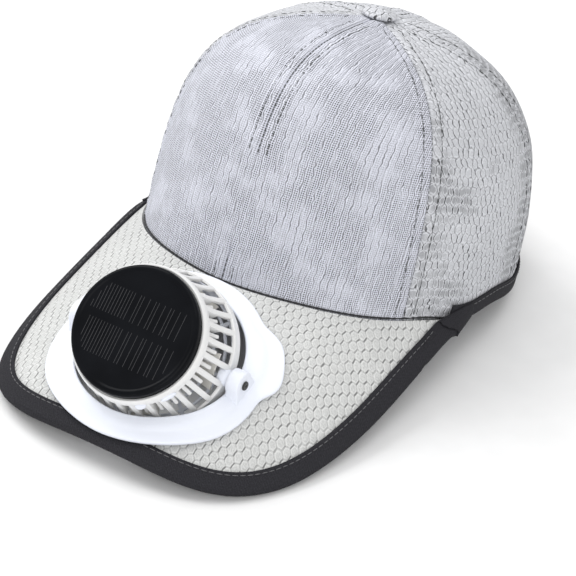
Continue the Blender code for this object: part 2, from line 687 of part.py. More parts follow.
def lean_back(rest):
    """Turn the cap about X until the tip of the peak and the rear hem touch the floor."""
    points = [v.co.copy() for name in ("peak_binding", "hem_binding") for v in bpy.data.objects[name].data.vertices]
    low, high = 0.0, 0.5
    for _ in range(40):
        lean = (low + high) / 2
        turned_points = [Matrix.Rotation(-lean, 3, "X") @ p for p in points]
        front = min(p.z for p in turned_points if p.y < 0)
        back = min(p.z for p in turned_points if p.y > 0)
        low, high = (lean, high) if front < back else (low, lean)
    reach = [p.y for p in turned_points]
    rest.rotation_euler.x = -lean
    rest.location = (0, -(min(reach) + max(reach)) / 2, -min(front, back))


def main():
    """Build every sub-part in the open file."""
    for old in list(bpy.data.objects):
        bpy.data.objects.remove(old)
    parts, _ = collection("solar_fan_hat"), collection("cutters")
    rest = bpy.data.objects.new("rest", None)
    hinge = bpy.data.objects.new("hinge", None)
    for empty in (rest, hinge):
        parts.objects.link(empty)
    hinge.parent = rest
    hinge.location = hub()
    hinge.rotation_euler.x = PANEL_PITCH
    build_crown(rest)
    build_peak(rest)
    build_edges(rest)
    build_flange(rest)
    build_housing(hinge)
    build_panel(hinge)
    build_fan(hinge)
    lean_back(rest)


main()
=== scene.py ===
"""Solar fan hat: mesh cloth, tapes, stitching and fan unit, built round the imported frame.

Metres, +Z up, the front towards -Y. Shapes are drawn as the cap is worn and then leaned back by
REST, which comes from the frame's joints; the fan unit is drawn in HINGE, the frame of its pins.
"""
import json
import math

import bmesh
import bpy
from mathutils import Matrix, Vector, noise


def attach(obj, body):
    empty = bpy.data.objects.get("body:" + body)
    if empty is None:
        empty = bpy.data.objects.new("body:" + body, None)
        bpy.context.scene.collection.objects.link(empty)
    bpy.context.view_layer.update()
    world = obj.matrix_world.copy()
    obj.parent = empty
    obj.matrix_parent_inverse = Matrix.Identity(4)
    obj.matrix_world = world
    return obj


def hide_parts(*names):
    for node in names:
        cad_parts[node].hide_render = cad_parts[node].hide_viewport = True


bl_info = {
    "name": "Solar fan hat",
    "version": (1, 0, 0),
    "blender": (4, 5, 0),
    "location": "3D View > Sidebar > Hat",
    "description": "Builds the finished solar fan hat round its packed frame",
    "category": "Object",
}

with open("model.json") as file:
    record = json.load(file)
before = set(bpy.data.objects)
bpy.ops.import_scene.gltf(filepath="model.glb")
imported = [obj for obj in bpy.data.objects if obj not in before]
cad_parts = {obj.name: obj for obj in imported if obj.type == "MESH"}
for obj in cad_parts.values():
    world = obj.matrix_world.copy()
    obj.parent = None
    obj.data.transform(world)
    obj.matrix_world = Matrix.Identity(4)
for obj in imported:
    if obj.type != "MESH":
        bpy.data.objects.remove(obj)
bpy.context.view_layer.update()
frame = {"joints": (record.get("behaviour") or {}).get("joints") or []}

# Head opening and crown, as in the frame
HEAD_HALF_WIDTH, HEAD_FRONT, HEAD_BACK, HEAD_POWER = 0.082, 0.1045, 0.1005, 0.95
SIDE_HEM, BACK_HEM = 0.0009, 0.0037
HEM_ARCH, HEM_ARCH_AT, HEM_ARCH_WIDTH = 0.0037, math.radians(93.0), math.radians(11.0)
CROWN_HEIGHT, BUTTON_FORWARD, CROWN_END = 0.1184, 0.0078, 0.985
WALL_LEAN = (-0.111, 0.043, -0.030)
WALL_RISE = (0.807, 0.673, 0.478)
WALL_FLAT = (0.958, 0.902, 0.595)
WALL_TOP = (0.992, 0.931, 1.060)
FRONT_SEAM, BACK_SEAM = math.radians(57.3), math.radians(105.7)
CLOTH, GAP = 0.0012, 0.0003
ARCH_HALF_ANGLE, ARCH_END = math.radians(31.0), 0.27
STRAP_HEIGHT, STRAP_ABOVE_HEM, STRAP_OVERLAP = 0.018, 0.002, math.radians(6.0)
BUTTON_RADIUS, BUTTON_HEIGHT = 0.0082, 0.0042

# Peak and bindings, as in the frame
PEAK_BOARD, PEAK_MIDDLE = 0.0028, 0.00875
PEAK_END, PEAK_CORNER, PEAK_CORNER_BLEND = math.radians(72.8), math.radians(70.9), math.radians(4.6)
PEAK_FALL, PEAK_FALL_POWER, PEAK_SLOPE, PEAK_DROOP = 0.0384, 2.6, 0.505, 0.0149
PEAK_HALF_WIDTH, PEAK_REACH, PEAK_SQUARE, PEAK_WIDEST = 0.0847, 0.0823, 0.642, 0.061
PEAK_TURN = math.radians(96.2)
BINDING_WALL, BINDING_SLACK, HEM_SLACK = 0.0008, 0.0005, 0.00065
PEAK_BINDING, HEM_BINDING = 0.0085, 0.0075

# Fan unit, as in the frame
FAN_FORWARD, HINGE_LIFT, PANEL_PITCH = 0.1487, 0.0050, math.radians(59.4)
HOLE_RADIUS, PEAK_HOLE_RADIUS, RING, RING_WIDTH = 0.0369, 0.0402, 0.0016, 0.0055
FLANGE, FLANGE_HALF_WIDTH, FLANGE_HALF_DEPTH, FLANGE_BACKWARD = 0.0022, 0.049, 0.039, 0.003
WING, WING_ANGLE, WING_SPREAD = 0.007, 25.0, 15.0
SEAT_GAP, TIP_LIFT, TIP_LIFT_START, TIP_LIFT_LENGTH = 0.00045, 0.0014, 0.018, 0.014
EAR_INNER, EAR_OUTER, EAR_RADIUS, EAR_FOOT = 0.0383, 0.0447, 0.0060, 0.0085
PIN_RADIUS, CAP_RADIUS, CAP_THICKNESS = 0.0026, 0.0021, 0.0011
HOUSING_RADIUS, NECK_RADIUS, HOUSING_BELOW, HOUSING_TOP = 0.0361, 0.0315, 0.0060, 0.0258
SLOT_LOW, SLOT_HIGH, RIBS = 0.0015, 0.0213, 28
PANEL_RADIUS, PANEL_TOP, PLATE_TOP, PLATE = 0.0296, 0.0303, 0.0252, 0.0015
MOTOR_RADIUS, MOTOR_TOP, MOTOR_HEIGHT = 0.0095, 0.0234, 0.0135
ROTOR_RADIUS, ROTOR_TOP, ROTOR_HEIGHT, IMPELLER_RADIUS, BLADES = 0.0100, 0.0096, 0.0121, 0.031, 5
GUARD, GUARD_RING, GUARD_HUB, GUARD_BARS = 0.0014, 0.0022, 0.0100, 4

SEAMS = (-BACK_SEAM, -FRONT_SEAM, FRONT_SEAM, BACK_SEAM, math.pi)
TOP_DART, BOTTOM_DART = 0.288, 0.057


class HatSizes(bpy.types.PropertyGroup):
    """Sizes of the hat's sewing and cloth."""
    stitch_pitch: bpy.props.FloatProperty(
        name="Stitch pitch", description="From one stitch to the next", default=0.0030, unit="LENGTH")
    stitch_length: bpy.props.FloatProperty(
        name="Stitch length", description="Length of thread that shows", default=0.0031, unit="LENGTH")
    thread: bpy.props.FloatProperty(
        name="Thread", description="Width of a stitch", default=0.00056, unit="LENGTH")
    seam_offset: bpy.props.FloatProperty(
        name="Seam offset", description="From a seam to its row of stitches", default=0.0046, unit="LENGTH")
    seam_lift: bpy.props.FloatProperty(
        name="Seam lift", description="Rise of the cloth over a folded seam", default=0.0005, unit="LENGTH")
    seam_depth: bpy.props.FloatProperty(
        name="Seam depth", description="Depth of the groove where two panels meet", default=0.0010, unit="LENGTH")
    pucker: bpy.props.FloatProperty(
        name="Pucker", description="Height of the small waves beside a seam", default=0.00026, unit="LENGTH")
    cell_width: bpy.props.FloatProperty(
        name="Cell width", description="Width of a cell of the mesh cloth", default=0.0038, unit="LENGTH")
    cell_height: bpy.props.FloatProperty(
        name="Cell rows", description="From one row of cells to the next", default=0.0040, unit="LENGTH")


class HatColours(bpy.types.PropertyGroup):
    """Colours of the hat's materials."""
    front: bpy.props.FloatVectorProperty(
        name="Front", description="Backed mesh of the front panel", subtype="COLOR", default=(0.74, 0.755, 0.84))
    side: bpy.props.FloatVectorProperty(
        name="Sides", description="Open mesh of the sides and back", subtype="COLOR", default=(0.655, 0.665, 0.70))
    peak: bpy.props.FloatVectorProperty(
        name="Peak", description="Mesh on the peak", subtype="COLOR", default=(0.67, 0.675, 0.665))
    under: bpy.props.FloatVectorProperty(
        name="Underside", description="Cloth under the peak", subtype="COLOR", default=(0.060, 0.060, 0.066))
    tape: bpy.props.FloatVectorProperty(
        name="Tape", description="Binding and strap", subtype="COLOR", default=(0.027, 0.0265, 0.031))
    thread: bpy.props.FloatVectorProperty(
        name="Thread", description="Stitches of the crown", subtype="COLOR", default=(0.075, 0.08, 0.08))
    plastic: bpy.props.FloatVectorProperty(
        name="Plastic", description="Moulded parts of the fan", subtype="COLOR", default=(0.83, 0.86, 0.94))
    panel: bpy.props.FloatVectorProperty(
        name="Panel", description="Solar panel", subtype="COLOR", default=(0.006, 0.0065, 0.008))


def smooth(low, high, value):
    """Smooth step from 0 at low to 1 at high."""
    share = min(max((value - low) / (high - low), 0), 1)
    return share * share * (3 - 2 * share)


def by_quarter(angle, values):
    """Blend of a front, a side and a back value round the head."""
    front, side, back = values
    cos = math.cos(angle)
    return front * max(cos, 0) ** 2 + back * max(-cos, 0) ** 2 + side * math.sin(angle) ** 2


def hem_plan(angle):
    """Point of the head opening seen from above, angle 0 at the front."""
    sin, cos = math.sin(angle), math.cos(angle)
    reach = HEAD_FRONT if cos > 0 else HEAD_BACK
    x = math.copysign(HEAD_HALF_WIDTH * abs(sin) ** HEAD_POWER, sin)
    return x, -math.copysign(reach * abs(cos) ** HEAD_POWER, cos)


def peak_height(x, y):
    """Height of the middle of the peak's board."""
    ahead = -HEAD_FRONT - y
    fall = PEAK_FALL * (abs(x) / HEAD_HALF_WIDTH) ** PEAK_FALL_POWER
    return PEAK_MIDDLE - fall - PEAK_SLOPE * ahead - PEAK_DROOP * (max(ahead, 0) / PEAK_REACH) ** 2


def peak_share(angle):
    """1 where the hem follows the peak, 0 where it follows the side."""
    return 1 / (1 + math.exp((abs(angle) - PEAK_CORNER) / PEAK_CORNER_BLEND))


def hem(angle):
    """Point of the hem."""
    x, y = hem_plan(angle)
    share = peak_share(angle)
    arch = HEM_ARCH * math.exp(-((abs(angle) - HEM_ARCH_AT) / HEM_ARCH_WIDTH) ** 2)
    side = SIDE_HEM + BACK_HEM * y / HEAD_BACK + arch
    return Vector((x, y, share * peak_height(x, y) + (1 - share) * side))


def crown(angle, t):
    """Point in the middle of the crown's cloth, t from 0 at the hem to 1 under the button."""
    low = hem(angle)
    u = 1 - t
    lean, rise = by_quarter(angle, WALL_LEAN), by_quarter(angle, WALL_RISE)
    flat, top = by_quarter(angle, WALL_FLAT), by_quarter(angle, WALL_TOP)
    reach = u ** 3 + 3 * u * u * t * (1 + lean) + 3 * u * t * t * flat
    climb = 3 * u * u * t * rise + 3 * u * t * t * top + t ** 3
    below = PEAK_BOARD / 2 * peak_share(angle) * u ** 12
    return Vector((low.x * reach, low.y * reach - BUTTON_FORWARD * (1 - reach),
                   low.z + (CROWN_HEIGHT - low.z) * climb - below))


def crown_normal(angle, t):
    """Outward direction of the crown's cloth."""
    across = crown(angle + 0.01, t) - crown(angle - 0.01, t)
    upward = crown(angle, t + 0.004) - crown(angle, t - 0.004)
    return across.cross(upward).normalized()


def crown_reach(angle, t):
    """Distance from the middle of the top, seen from above."""
    return (crown(angle, t) - crown(angle, 1)).to_2d().length


def crown_share(angle, height):
    """Value of t at a height above the hem."""
    t = 0.0
    while crown(angle, t).z - crown(angle, 0).z < height:
        t += 0.002
    return t


def arch_column(turn):
    """Angle and lower end of a column beside the rear opening, turn 0 at the corner, 1 in the middle."""
    phi = turn * math.pi / 2
    return math.pi - ARCH_HALF_ANGLE * max(math.cos(phi), 0) ** 0.9, ARCH_END * math.sin(phi) ** 0.8


def peak_edge(k):
    """Point of the outer edge of the peak's board, k from -1 to 1."""
    sin, cos = math.sin(k * PEAK_TURN), math.cos(k * PEAK_TURN)
    x = math.copysign(PEAK_HALF_WIDTH * abs(sin) ** PEAK_SQUARE, sin)
    reach = HEAD_FRONT + PEAK_REACH - PEAK_WIDEST
    return x, -PEAK_WIDEST - math.copysign(reach * abs(cos) ** PEAK_SQUARE, cos)


def peak_point(k, s):
    """Point in the middle of the peak's board, s from 0 at the crown to 1 at the outer edge."""
    angle = k * PEAK_END
    low = hem(angle)
    out = crown_normal(angle, 0).to_2d().normalized() * (CLOTH / 2 + BINDING_SLACK)
    x0, y0 = low.x + out.x, low.y + out.y
    x1, y1 = peak_edge(k)
    x, y = x0 + (x1 - x0) * s, y0 + (y1 - y0) * s
    step = low.z - peak_height(low.x, low.y)
    return Vector((x, y, peak_height(x, y) + step * (1 - s * (1 - k ** 16)) ** 2))


def peak_columns(count):
    """Values of k at even steps along the outer edge."""
    fine = [i / 800 for i in range(-800, 801)]
    lengths = [0.0]
    for a, b in zip(fine, fine[1:]):
        lengths.append(lengths[-1] + math.dist(peak_edge(a), peak_edge(b)))
    columns, i = [-1.0], 0
    for step in range(1, count - 1):
        while lengths[i] < lengths[-1] * step / (count - 1):
            i += 1
        columns.append(fine[i])
    return columns + [1.0]


def peak_normal(x, y):
    """Upward direction of the peak's board."""
    d = 0.0002
    gx = (peak_height(x + d, y) - peak_height(x - d, y)) / (2 * d)
    gy = (peak_height(x, y + d) - peak_height(x, y - d)) / (2 * d)
    return Vector((-gx, -gy, 1)).normalized()


def hub():
    """Middle of the hinge line."""
    return Vector((0, -FAN_FORWARD, peak_height(0, -FAN_FORWARD) + HINGE_LIFT))


def hole_pitch():
    """Slope of the peak under the fan."""
    normal = peak_normal(0, -FAN_FORWARD)
    return math.atan2(-normal.y, normal.z)


def joint(name):
    """Joint of the frame."""
    return next(j for j in frame["joints"] if j["name"] == name)


SPIN_AXIS = Vector(joint("fan_spin")["axis"])
LEAN = Matrix.Rotation(math.atan2(-SPIN_AXIS.y, SPIN_AXIS.z) - PANEL_PITCH, 4, "X")
REST = Matrix.Translation(Vector(joint("fan_tilt")["pos_m"]) - LEAN @ hub()) @ LEAN
HINGE = REST @ Matrix.Translation(hub()) @ Matrix.Rotation(PANEL_PITCH, 4, "X")
SEAT = REST @ Matrix.Translation(hub()) @ Matrix.Rotation(hole_pitch(), 4, "X")


def seams_near(angle, t):
    """Seams and the dart within 3 cm, each with its strength and its distance."""
    reach = crown_reach(angle, t)
    dart = max(smooth(TOP_DART - 0.03, TOP_DART + 0.03, t), 1 - smooth(BOTTOM_DART, BOTTOM_DART + 0.03, t))
    marks = [(seam, 1.0) for seam in SEAMS] + [(0.0, dart)]
    found = [(seam, strength, abs(math.remainder(angle - seam, math.tau)) * reach) for seam, strength in marks]
    return [mark for mark in found if mark[1] and mark[2] < 0.03]


def cloth_lift(angle, t, sizes):
    """Height of the cloth over the frame's surface: folded seams, grooves and puckers."""
    lift = 0.0
    for seam, strength, away in seams_near(angle, t):
        over = sizes.seam_lift * (1 - smooth(sizes.seam_offset * 1.15, sizes.seam_offset * 1.7, away))
        groove = sizes.seam_depth * math.exp(-(away / 0.0008) ** 2)
        groove += sizes.pucker * math.exp(-((away - sizes.seam_offset) / 0.0006) ** 2)
        wave = math.sin(t * 190 + 2 * math.sin(t * 61 + seam)) * math.exp(-((away - sizes.seam_offset) / 0.004) ** 2)
        lift += strength * (over - groove + sizes.pucker * wave)
    return lift * smooth(0.0, 0.012, crown_reach(angle, t))


def cloth_point(angle, t, sizes, above=0.0, soft=0.0):
    """Point on the finished cloth of the crown, in the frame."""
    place = crown(angle, t)
    bulge = soft * noise.noise(place * 38) * smooth(0.0, 0.2, t)
    for _, strength, away in seams_near(angle, t) if soft else ():
        bulge *= 1 - strength * (1 - smooth(0.007, 0.03, away))
    return REST @ (place + crown_normal(angle, t) * (cloth_lift(angle, t, sizes) + above + bulge))


def running(points):
    """Lengths from the first point to each point."""
    lengths = [0.0]
    for a, b in zip(points, points[1:]):
        lengths.append(lengths[-1] + (b - a).length)
    return lengths


def sheet(columns, rows, place, lay=None, closed=False):
    """Grid set out by place(u, v), with a UV map in metres that lies flat along the middle column."""
    grid = [[place(i / columns, j / rows) for i in range(columns + 1)] for j in range(rows + 1)]
    across = [running(row) for row in grid]
    up = running([row[columns // 2] for row in grid])
    shape = bmesh.new()
    bmesh.ops.create_grid(shape, x_segments=columns, y_segments=rows, size=0.5)
    flat = shape.loops.layers.uv.new("cloth")
    spots = {v: (round((v.co.x + 0.5) * columns), round((v.co.y + 0.5) * rows)) for v in shape.verts}
    for face in shape.faces:
        for loop in face.loops:
            i, j = spots[loop.vert]
            loop[flat].uv = lay(grid[j][i]) if lay else (across[j][i] - across[j][columns // 2], up[j])
    for vert, (i, j) in spots.items():
        vert.co = grid[j][i]
    if closed:
        bmesh.ops.remove_doubles(shape, verts=shape.verts, dist=1e-6)
    return shape


def turned(profile, steps, closed=False):
    """Profile of (radius, height) turned round Z. A closed profile is a ring's section."""
    shape = bmesh.new()
    verts = [shape.verts.new((radius, 0, height)) for radius, height in profile]
    pairs = list(zip(verts, verts[1:])) + ([(verts[-1], verts[0])] if closed else [])
    edges = [shape.edges.new(pair) for pair in pairs]
    bmesh.ops.spin(shape, geom=verts + edges, cent=(0, 0, 0), axis=(0, 0, 1), angle=math.tau, steps=steps,
                   use_merge=True)
    bmesh.ops.remove_doubles(shape, verts=shape.verts, dist=1e-6)
    bmesh.ops.recalc_face_normals(shape, faces=shape.faces)
    return shape


def rounded_prism(outline, low, high, radius, segments=3):
    """Prism of a flat outline in Y and Z, from X low to high, with rounded edges."""
    shape = bmesh.new()
    face = shape.faces.new([shape.verts.new((low, y, z)) for y, z in outline])
    made = bmesh.ops.extrude_face_region(shape, geom=[face])
    moved = [item for item in made["geom"] if isinstance(item, bmesh.types.BMVert)]
    bmesh.ops.translate(shape, verts=moved, vec=(high - low, 0, 0))
    bmesh.ops.recalc_face_normals(shape, faces=shape.faces)
    sharp = [edge for edge in shape.edges if edge.calc_face_angle(0) > math.radians(50)]
    bmesh.ops.bevel(shape, geom=sharp, offset=radius, offset_type="OFFSET", segments=segments, profile=0.5,
                    affect="EDGES", material=-1, clamp_overlap=True)
    return shape


def add(shape, other, place):
    """Copy of another shape, put in place, into a shape."""
    mesh = bpy.data.meshes.new("copy")
    other.to_mesh(mesh)
    mesh.transform(place)
    shape.from_mesh(mesh)
    bpy.data.meshes.remove(mesh)


def planar_uv(shape):
    """UV map that looks down on a shape from above, before it is put in place."""
    flat = shape.loops.layers.uv.new("cloth")
    for face in shape.faces:
        for loop in face.loops:
            loop[flat].uv = loop.vert.co.xy


def piece(name, shape, place, body, finishes, slot, nodes=(), crease=40):
    """Object of a shape, smoothed and carried by a body."""
    if place is not None:
        bmesh.ops.transform(shape, matrix=place, verts=shape.verts)
    mesh = bpy.data.meshes.new(name)
    shape.to_mesh(mesh)
    shape.free()
    for finish in finishes:
        mesh.materials.append(finish)
    mesh.shade_smooth()
    mesh.set_sharp_from_angle(angle=math.radians(crease))
    made = bpy.data.objects.new(name, mesh)
    bpy.context.scene.collection.objects.link(made)
    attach(made, body)
    if nodes:
        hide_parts(*nodes)
    return made


def solidify(made, thickness, back=0, rim=0):
    """Thickness shared by both sides of a sheet."""
    layer = made.modifiers.new("thickness", "SOLIDIFY")
    layer.thickness = thickness
    layer.offset = 0
    layer.material_offset = back
    layer.material_offset_rim = rim


def round_edges(made, width, segments=3, angle=50):
    """Rounded edges."""
    layer = made.modifiers.new("edges", "BEVEL")
    layer.width = width
    layer.segments = segments
    layer.limit_method = "ANGLE"
    layer.angle_limit = math.radians(angle)


def subdivide(made, levels):
    """Smooth subdivision, the same in the view and in the render."""
    layer = made.modifiers.new("smooth", "SUBSURF")
    layer.levels = layer.render_levels = levels


def settle(made):
    """Replace a piece's mesh with what its modifiers make of it."""
    graph = bpy.context.evaluated_depsgraph_get()
    mesh = bpy.data.meshes.new_from_object(made.evaluated_get(graph))
    made.modifiers.clear()
    made.data = mesh


class Finish:
    """Material under construction, with short ways to add nodes."""

    def __init__(self, name, colour, roughness, **values):
        self.material = bpy.data.materials.new(name)
        self.material.use_nodes = True
        self.tree = self.material.node_tree
        self.shader = self.tree.nodes["Principled BSDF"]
        self.shader.inputs["Roughness"].default_value = roughness
        self.shader.inputs["Base Color"].default_value = (*colour, 1)
        self.material.diffuse_color = (*colour, 1)
        for key, value in values.items():
            self.shader.inputs[key.replace("_", " ").title().replace("Ior", "IOR")].default_value = value

    def node(self, kind, feeds=(), **settings):
        """Node with its settings, and its sockets fed by values or by other sockets."""
        made = self.tree.nodes.new(kind)
        for key, value in settings.items():
            setattr(made, key, value)
        for key, value in feeds:
            if isinstance(value, bpy.types.NodeSocket):
                self.tree.links.new(value, made.inputs[key])
            else:
                made.inputs[key].default_value = value
        return made

    def math(self, operation, *values):
        return self.node("ShaderNodeMath", enumerate(values), operation=operation).outputs[0]

    def vector(self, operation, *values):
        return self.node("ShaderNodeVectorMath", enumerate(values), operation=operation).outputs[0]

    def dot(self, a, b):
        return self.node("ShaderNodeVectorMath", ((0, a), (1, b)), operation="DOT_PRODUCT").outputs["Value"]

    def step(self, value, low, high, to_low=0.0, to_high=1.0):
        """Smooth step between two values of a socket."""
        feeds = ((0, value), (1, low), (2, high), (3, to_low), (4, to_high))
        return self.node("ShaderNodeMapRange", feeds, interpolation_type="SMOOTHSTEP").outputs[0]

    def mix(self, share, first, second):
        """Colour between two colours."""
        colours = [(*c, 1) if isinstance(c, (tuple, list)) and len(c) == 3 else c for c in (first, second)]
        feeds = ((0, share), (6, colours[0]), (7, colours[1]))
        return self.node("ShaderNodeMix", feeds, data_type="RGBA").outputs[2]

    def noise(self, at, scale, detail=2.0, roughness=0.5):
        feeds = (("Vector", at), ("Scale", scale), ("Detail", detail), ("Roughness", roughness))
        return self.node("ShaderNodeTexNoise", feeds).outputs[0]

    def uv(self):
        return self.node("ShaderNodeUVMap", uv_map="cloth").outputs[0]

    def object(self):
        return self.node("ShaderNodeTexCoord").outputs["Object"]

    def bump(self, height, distance, strength=1.0, under=None):
        """Bump on top of another one."""
        feeds = [("Strength", strength), ("Distance", distance), ("Height", height)]
        if under is not None:
            feeds.append(("Normal", under))
        return self.node("ShaderNodeBump", feeds).outputs[0]

    def set(self, key, socket):
        self.tree.links.new(socket, self.shader.inputs[key])

    def honeycomb(self, at, width, rows):
        """Distances from the nearest upright and the nearest slanting edge of a six-sided cell."""
        high = math.sqrt(3)
        even = self.vector("MULTIPLY", at, (1 / width, high / 2 / rows, 0))
        half = (0.5, high / 2, 1)
        first = self.vector("WRAP", even, half, tuple(-h for h in half))
        moved = self.vector("ADD", even, (0.5, high / 2, 0))
        second = self.vector("WRAP", moved, half, tuple(-h for h in half))
        nearer = self.math("LESS_THAN", self.dot(first, first), self.dot(second, second))
        feeds = ((0, nearer), (4, second), (5, first))
        cell = self.node("ShaderNodeMix", feeds, data_type="VECTOR").outputs[1]
        side = self.vector("ABSOLUTE", cell)
        upright = self.math("SUBTRACT", 0.5, self.dot(side, (1, 0, 0)))
        slanting = self.math("SUBTRACT", 0.5, self.dot(side, (0.5, high / 2, 0)))
        return upright, slanting


def shade(colour, factor):
    """Darker or lighter colour."""
    return tuple(min(c * factor, 1) for c in colour)


def mesh_cloth(name, colour, cell, strokes, wobble, dots, inside_shade):
    """Knitted mesh of long six-sided cells. Strokes are (upright, slanting) line strengths. The last argument darkens
    cells in patches as painted shade of the cap's inside seen through the open mesh; a painted highlight runs beside
    the cell rims.
    """
    made = Finish(name, colour, 0.86)
    at = made.uv()
    drift = made.node("ShaderNodeTexNoise", (("Vector", at), ("Scale", 230.0), ("Detail", 2.0))).outputs["Color"]
    shift = made.vector("MULTIPLY", made.vector("SUBTRACT", drift, (0.5, 0.5, 0.5)), (wobble, wobble, 0))
    bent = made.vector("ADD", at, shift)
    upright, slanting = made.honeycomb(bent, cell[0], cell[1])
    if dots:
        upright = made.math("PINGPONG", made.dot(bent, (1 / cell[0], 0, 0)), 0.5)
    patch = made.noise(at, 26.0, 2.0, 0.6)
    base = made.mix(made.step(patch, 0.35, 0.65), shade(colour, 0.92), shade(colour, 1.05))
    grain = made.noise(at, 1300.0, 2.0, 0.7)
    base = made.mix(made.step(grain, 0.35, 0.7), shade(colour, 0.76), base)
    if dots:
        turn = math.tau / 0.00098
        weave = made.vector("SINE", made.vector("MULTIPLY", at, (turn, turn, 0)))
        holes = made.step(made.dot(weave, (0.5, 0.5, 0)), -0.08, 0.48)
        shown = made.step(made.noise(at, 44.0, 2.0, 0.6), 0.36, 0.56, 0.38, 1.0)
        channel = made.math("MULTIPLY", made.step(upright, 0.05, 0.2, 0.35, 1.0), dots)
        base = made.mix(made.math("MULTIPLY", holes, made.math("MULTIPLY", shown, channel)), base, shade(colour, 0.06))
    nearest = made.math("MINIMUM", upright, slanting)
    # Painted shade: in patches of noise, and more so away from the panel's middle, the cells are darkened to stand in
    # for the shaded inside of the cap seen through the open mesh.
    if inside_shade:
        beside_seam = made.step(made.dot(made.vector("ABSOLUTE", at), (1, 0, 0)), 0.014, 0.040, 0.0, 0.17)
        shade_zone = made.step(made.math("ADD", made.noise(made.object(), 26.0, 3.0, 0.65), beside_seam), 0.52, 0.68)
        inner = made.math("MULTIPLY", made.step(nearest, 0.09, 0.17), shade_zone)
        base = made.mix(made.math("MULTIPLY", inner, inside_shade), base, shade(colour, 0.34))
    rim = upright if dots else nearest
    # Painted highlight: a lighter band runs along each cell rim, standing in for light caught by the raised edge.
    beside = made.math("MULTIPLY", made.step(rim, 0.07, 0.13), made.step(rim, 0.13, 0.24, 1.0, 0.0))
    base = made.mix(made.math("MULTIPLY", beside, 0.55), base, shade(colour, 1.2))
    broken = made.step(made.noise(at, 900.0, 1.0), 0.38, 0.56, 0.1, 1.0)
    faint = made.step(made.noise(at, 120.0, 1.0), 0.32, 0.56, 0.40, 1.0)
    thin = made.math("MULTIPLY", made.math("MULTIPLY", made.step(slanting, 0.02, 0.09, 1.0, 0.0), broken), strokes[1])
    strong = made.math("MULTIPLY", made.math("MULTIPLY", made.step(upright, 0.035, 0.11, 1.0, 0.0), faint), strokes[0])
    made.set("Base Color", made.mix(made.math("MAXIMUM", thin, strong), base, shade(colour, 0.08)))
    pillow = made.step(rim, 0.0, 0.28)
    made.set("Normal", made.bump(grain, 0.00018, 0.8, made.bump(pillow, 0.00028)))
    return made.material


def tape_finish(name, colour):
    """Black twill tape."""
    made = Finish(name, colour, 0.85, specular_ior_level=0.15)
    at = made.uv()
    wave = made.node("ShaderNodeTexWave", (("Vector", at), ("Scale", 520.0), ("Distortion", 0.6), ("Detail", 1.0)),
                     wave_type="BANDS", bands_direction="DIAGONAL").outputs[1]
    fuzz = made.noise(at, 1500.0, 3.0, 0.7)
    base = made.mix(made.step(fuzz, 0.3, 0.75), shade(colour, 0.7), shade(colour, 1.45))
    made.set("Base Color", made.mix(made.math("MULTIPLY", wave, 0.35), base, shade(colour, 0.6)))
    low = made.bump(wave, 0.00012, 0.8)
    made.set("Normal", made.bump(fuzz, 0.00015, 0.6, low))
    return made.material


def under_finish(colour):
    """Plain woven cloth under the peak."""
    made = Finish("under_cloth", colour, 0.88, specular_ior_level=0.2)
    at = made.object()
    weave = made.node("ShaderNodeTexWave", (("Vector", at), ("Scale", 560.0), ("Distortion", 0.4))).outputs[1]
    grain = made.noise(at, 1800.0, 3.0, 0.7)
    made.set("Base Color", made.mix(made.step(grain, 0.3, 0.7), shade(colour, 0.75), shade(colour, 1.25)))
    made.set("Normal", made.bump(grain, 0.0002, 0.7, made.bump(weave, 0.00015, 0.5)))
    return made.material


def thread_finish(name, colour):
    """Twisted thread."""
    made = Finish(name, colour, 0.7)
    twist = made.noise(made.object(), 3500.0, 1.0)
    made.set("Base Color", made.mix(made.step(twist, 0.3, 0.7), shade(colour, 0.7), shade(colour, 1.3)))
    made.set("Normal", made.bump(twist, 0.0001, 0.6))
    return made.material


def plastic_finish(name, colour, roughness):
    """Moulded plastic with a faint orange peel."""
    made = Finish(name, colour, roughness, specular_ior_level=0.35)
    at = made.object()
    cloud = made.noise(at, 45.0, 2.0)
    made.set("Base Color", made.mix(made.step(cloud, 0.3, 0.7), shade(colour, 0.975), colour))
    made.set("Roughness", made.step(made.noise(at, 160.0, 3.0), 0.2, 0.8, roughness - 0.05, roughness + 0.08))
    made.set("Normal", made.bump(made.noise(at, 900.0, 2.0), 0.00003, 0.5))
    return made.material


def panel_finish(colour):
    """Glossy black cover of the solar cells."""
    made = Finish("panel_black", colour, 0.16, specular_ior_level=0.05)
    at = made.object()
    cloud = made.noise(at, 60.0, 3.0)
    made.set("Base Color", made.mix(made.step(cloud, 0.3, 0.7), shade(colour, 0.85), shade(colour, 1.2)))
    made.set("Roughness", made.step(made.noise(at, 210.0, 3.0), 0.3, 0.8, 0.13, 0.24))
    return made.material


def metal_finish(name, colour, roughness):
    """Turned metal."""
    made = Finish(name, colour, roughness, metallic=0.9)
    made.set("Roughness", made.step(made.noise(made.object(), 700.0, 2.0), 0.3, 0.7, roughness - 0.08, roughness + 0.1))
    return made.material


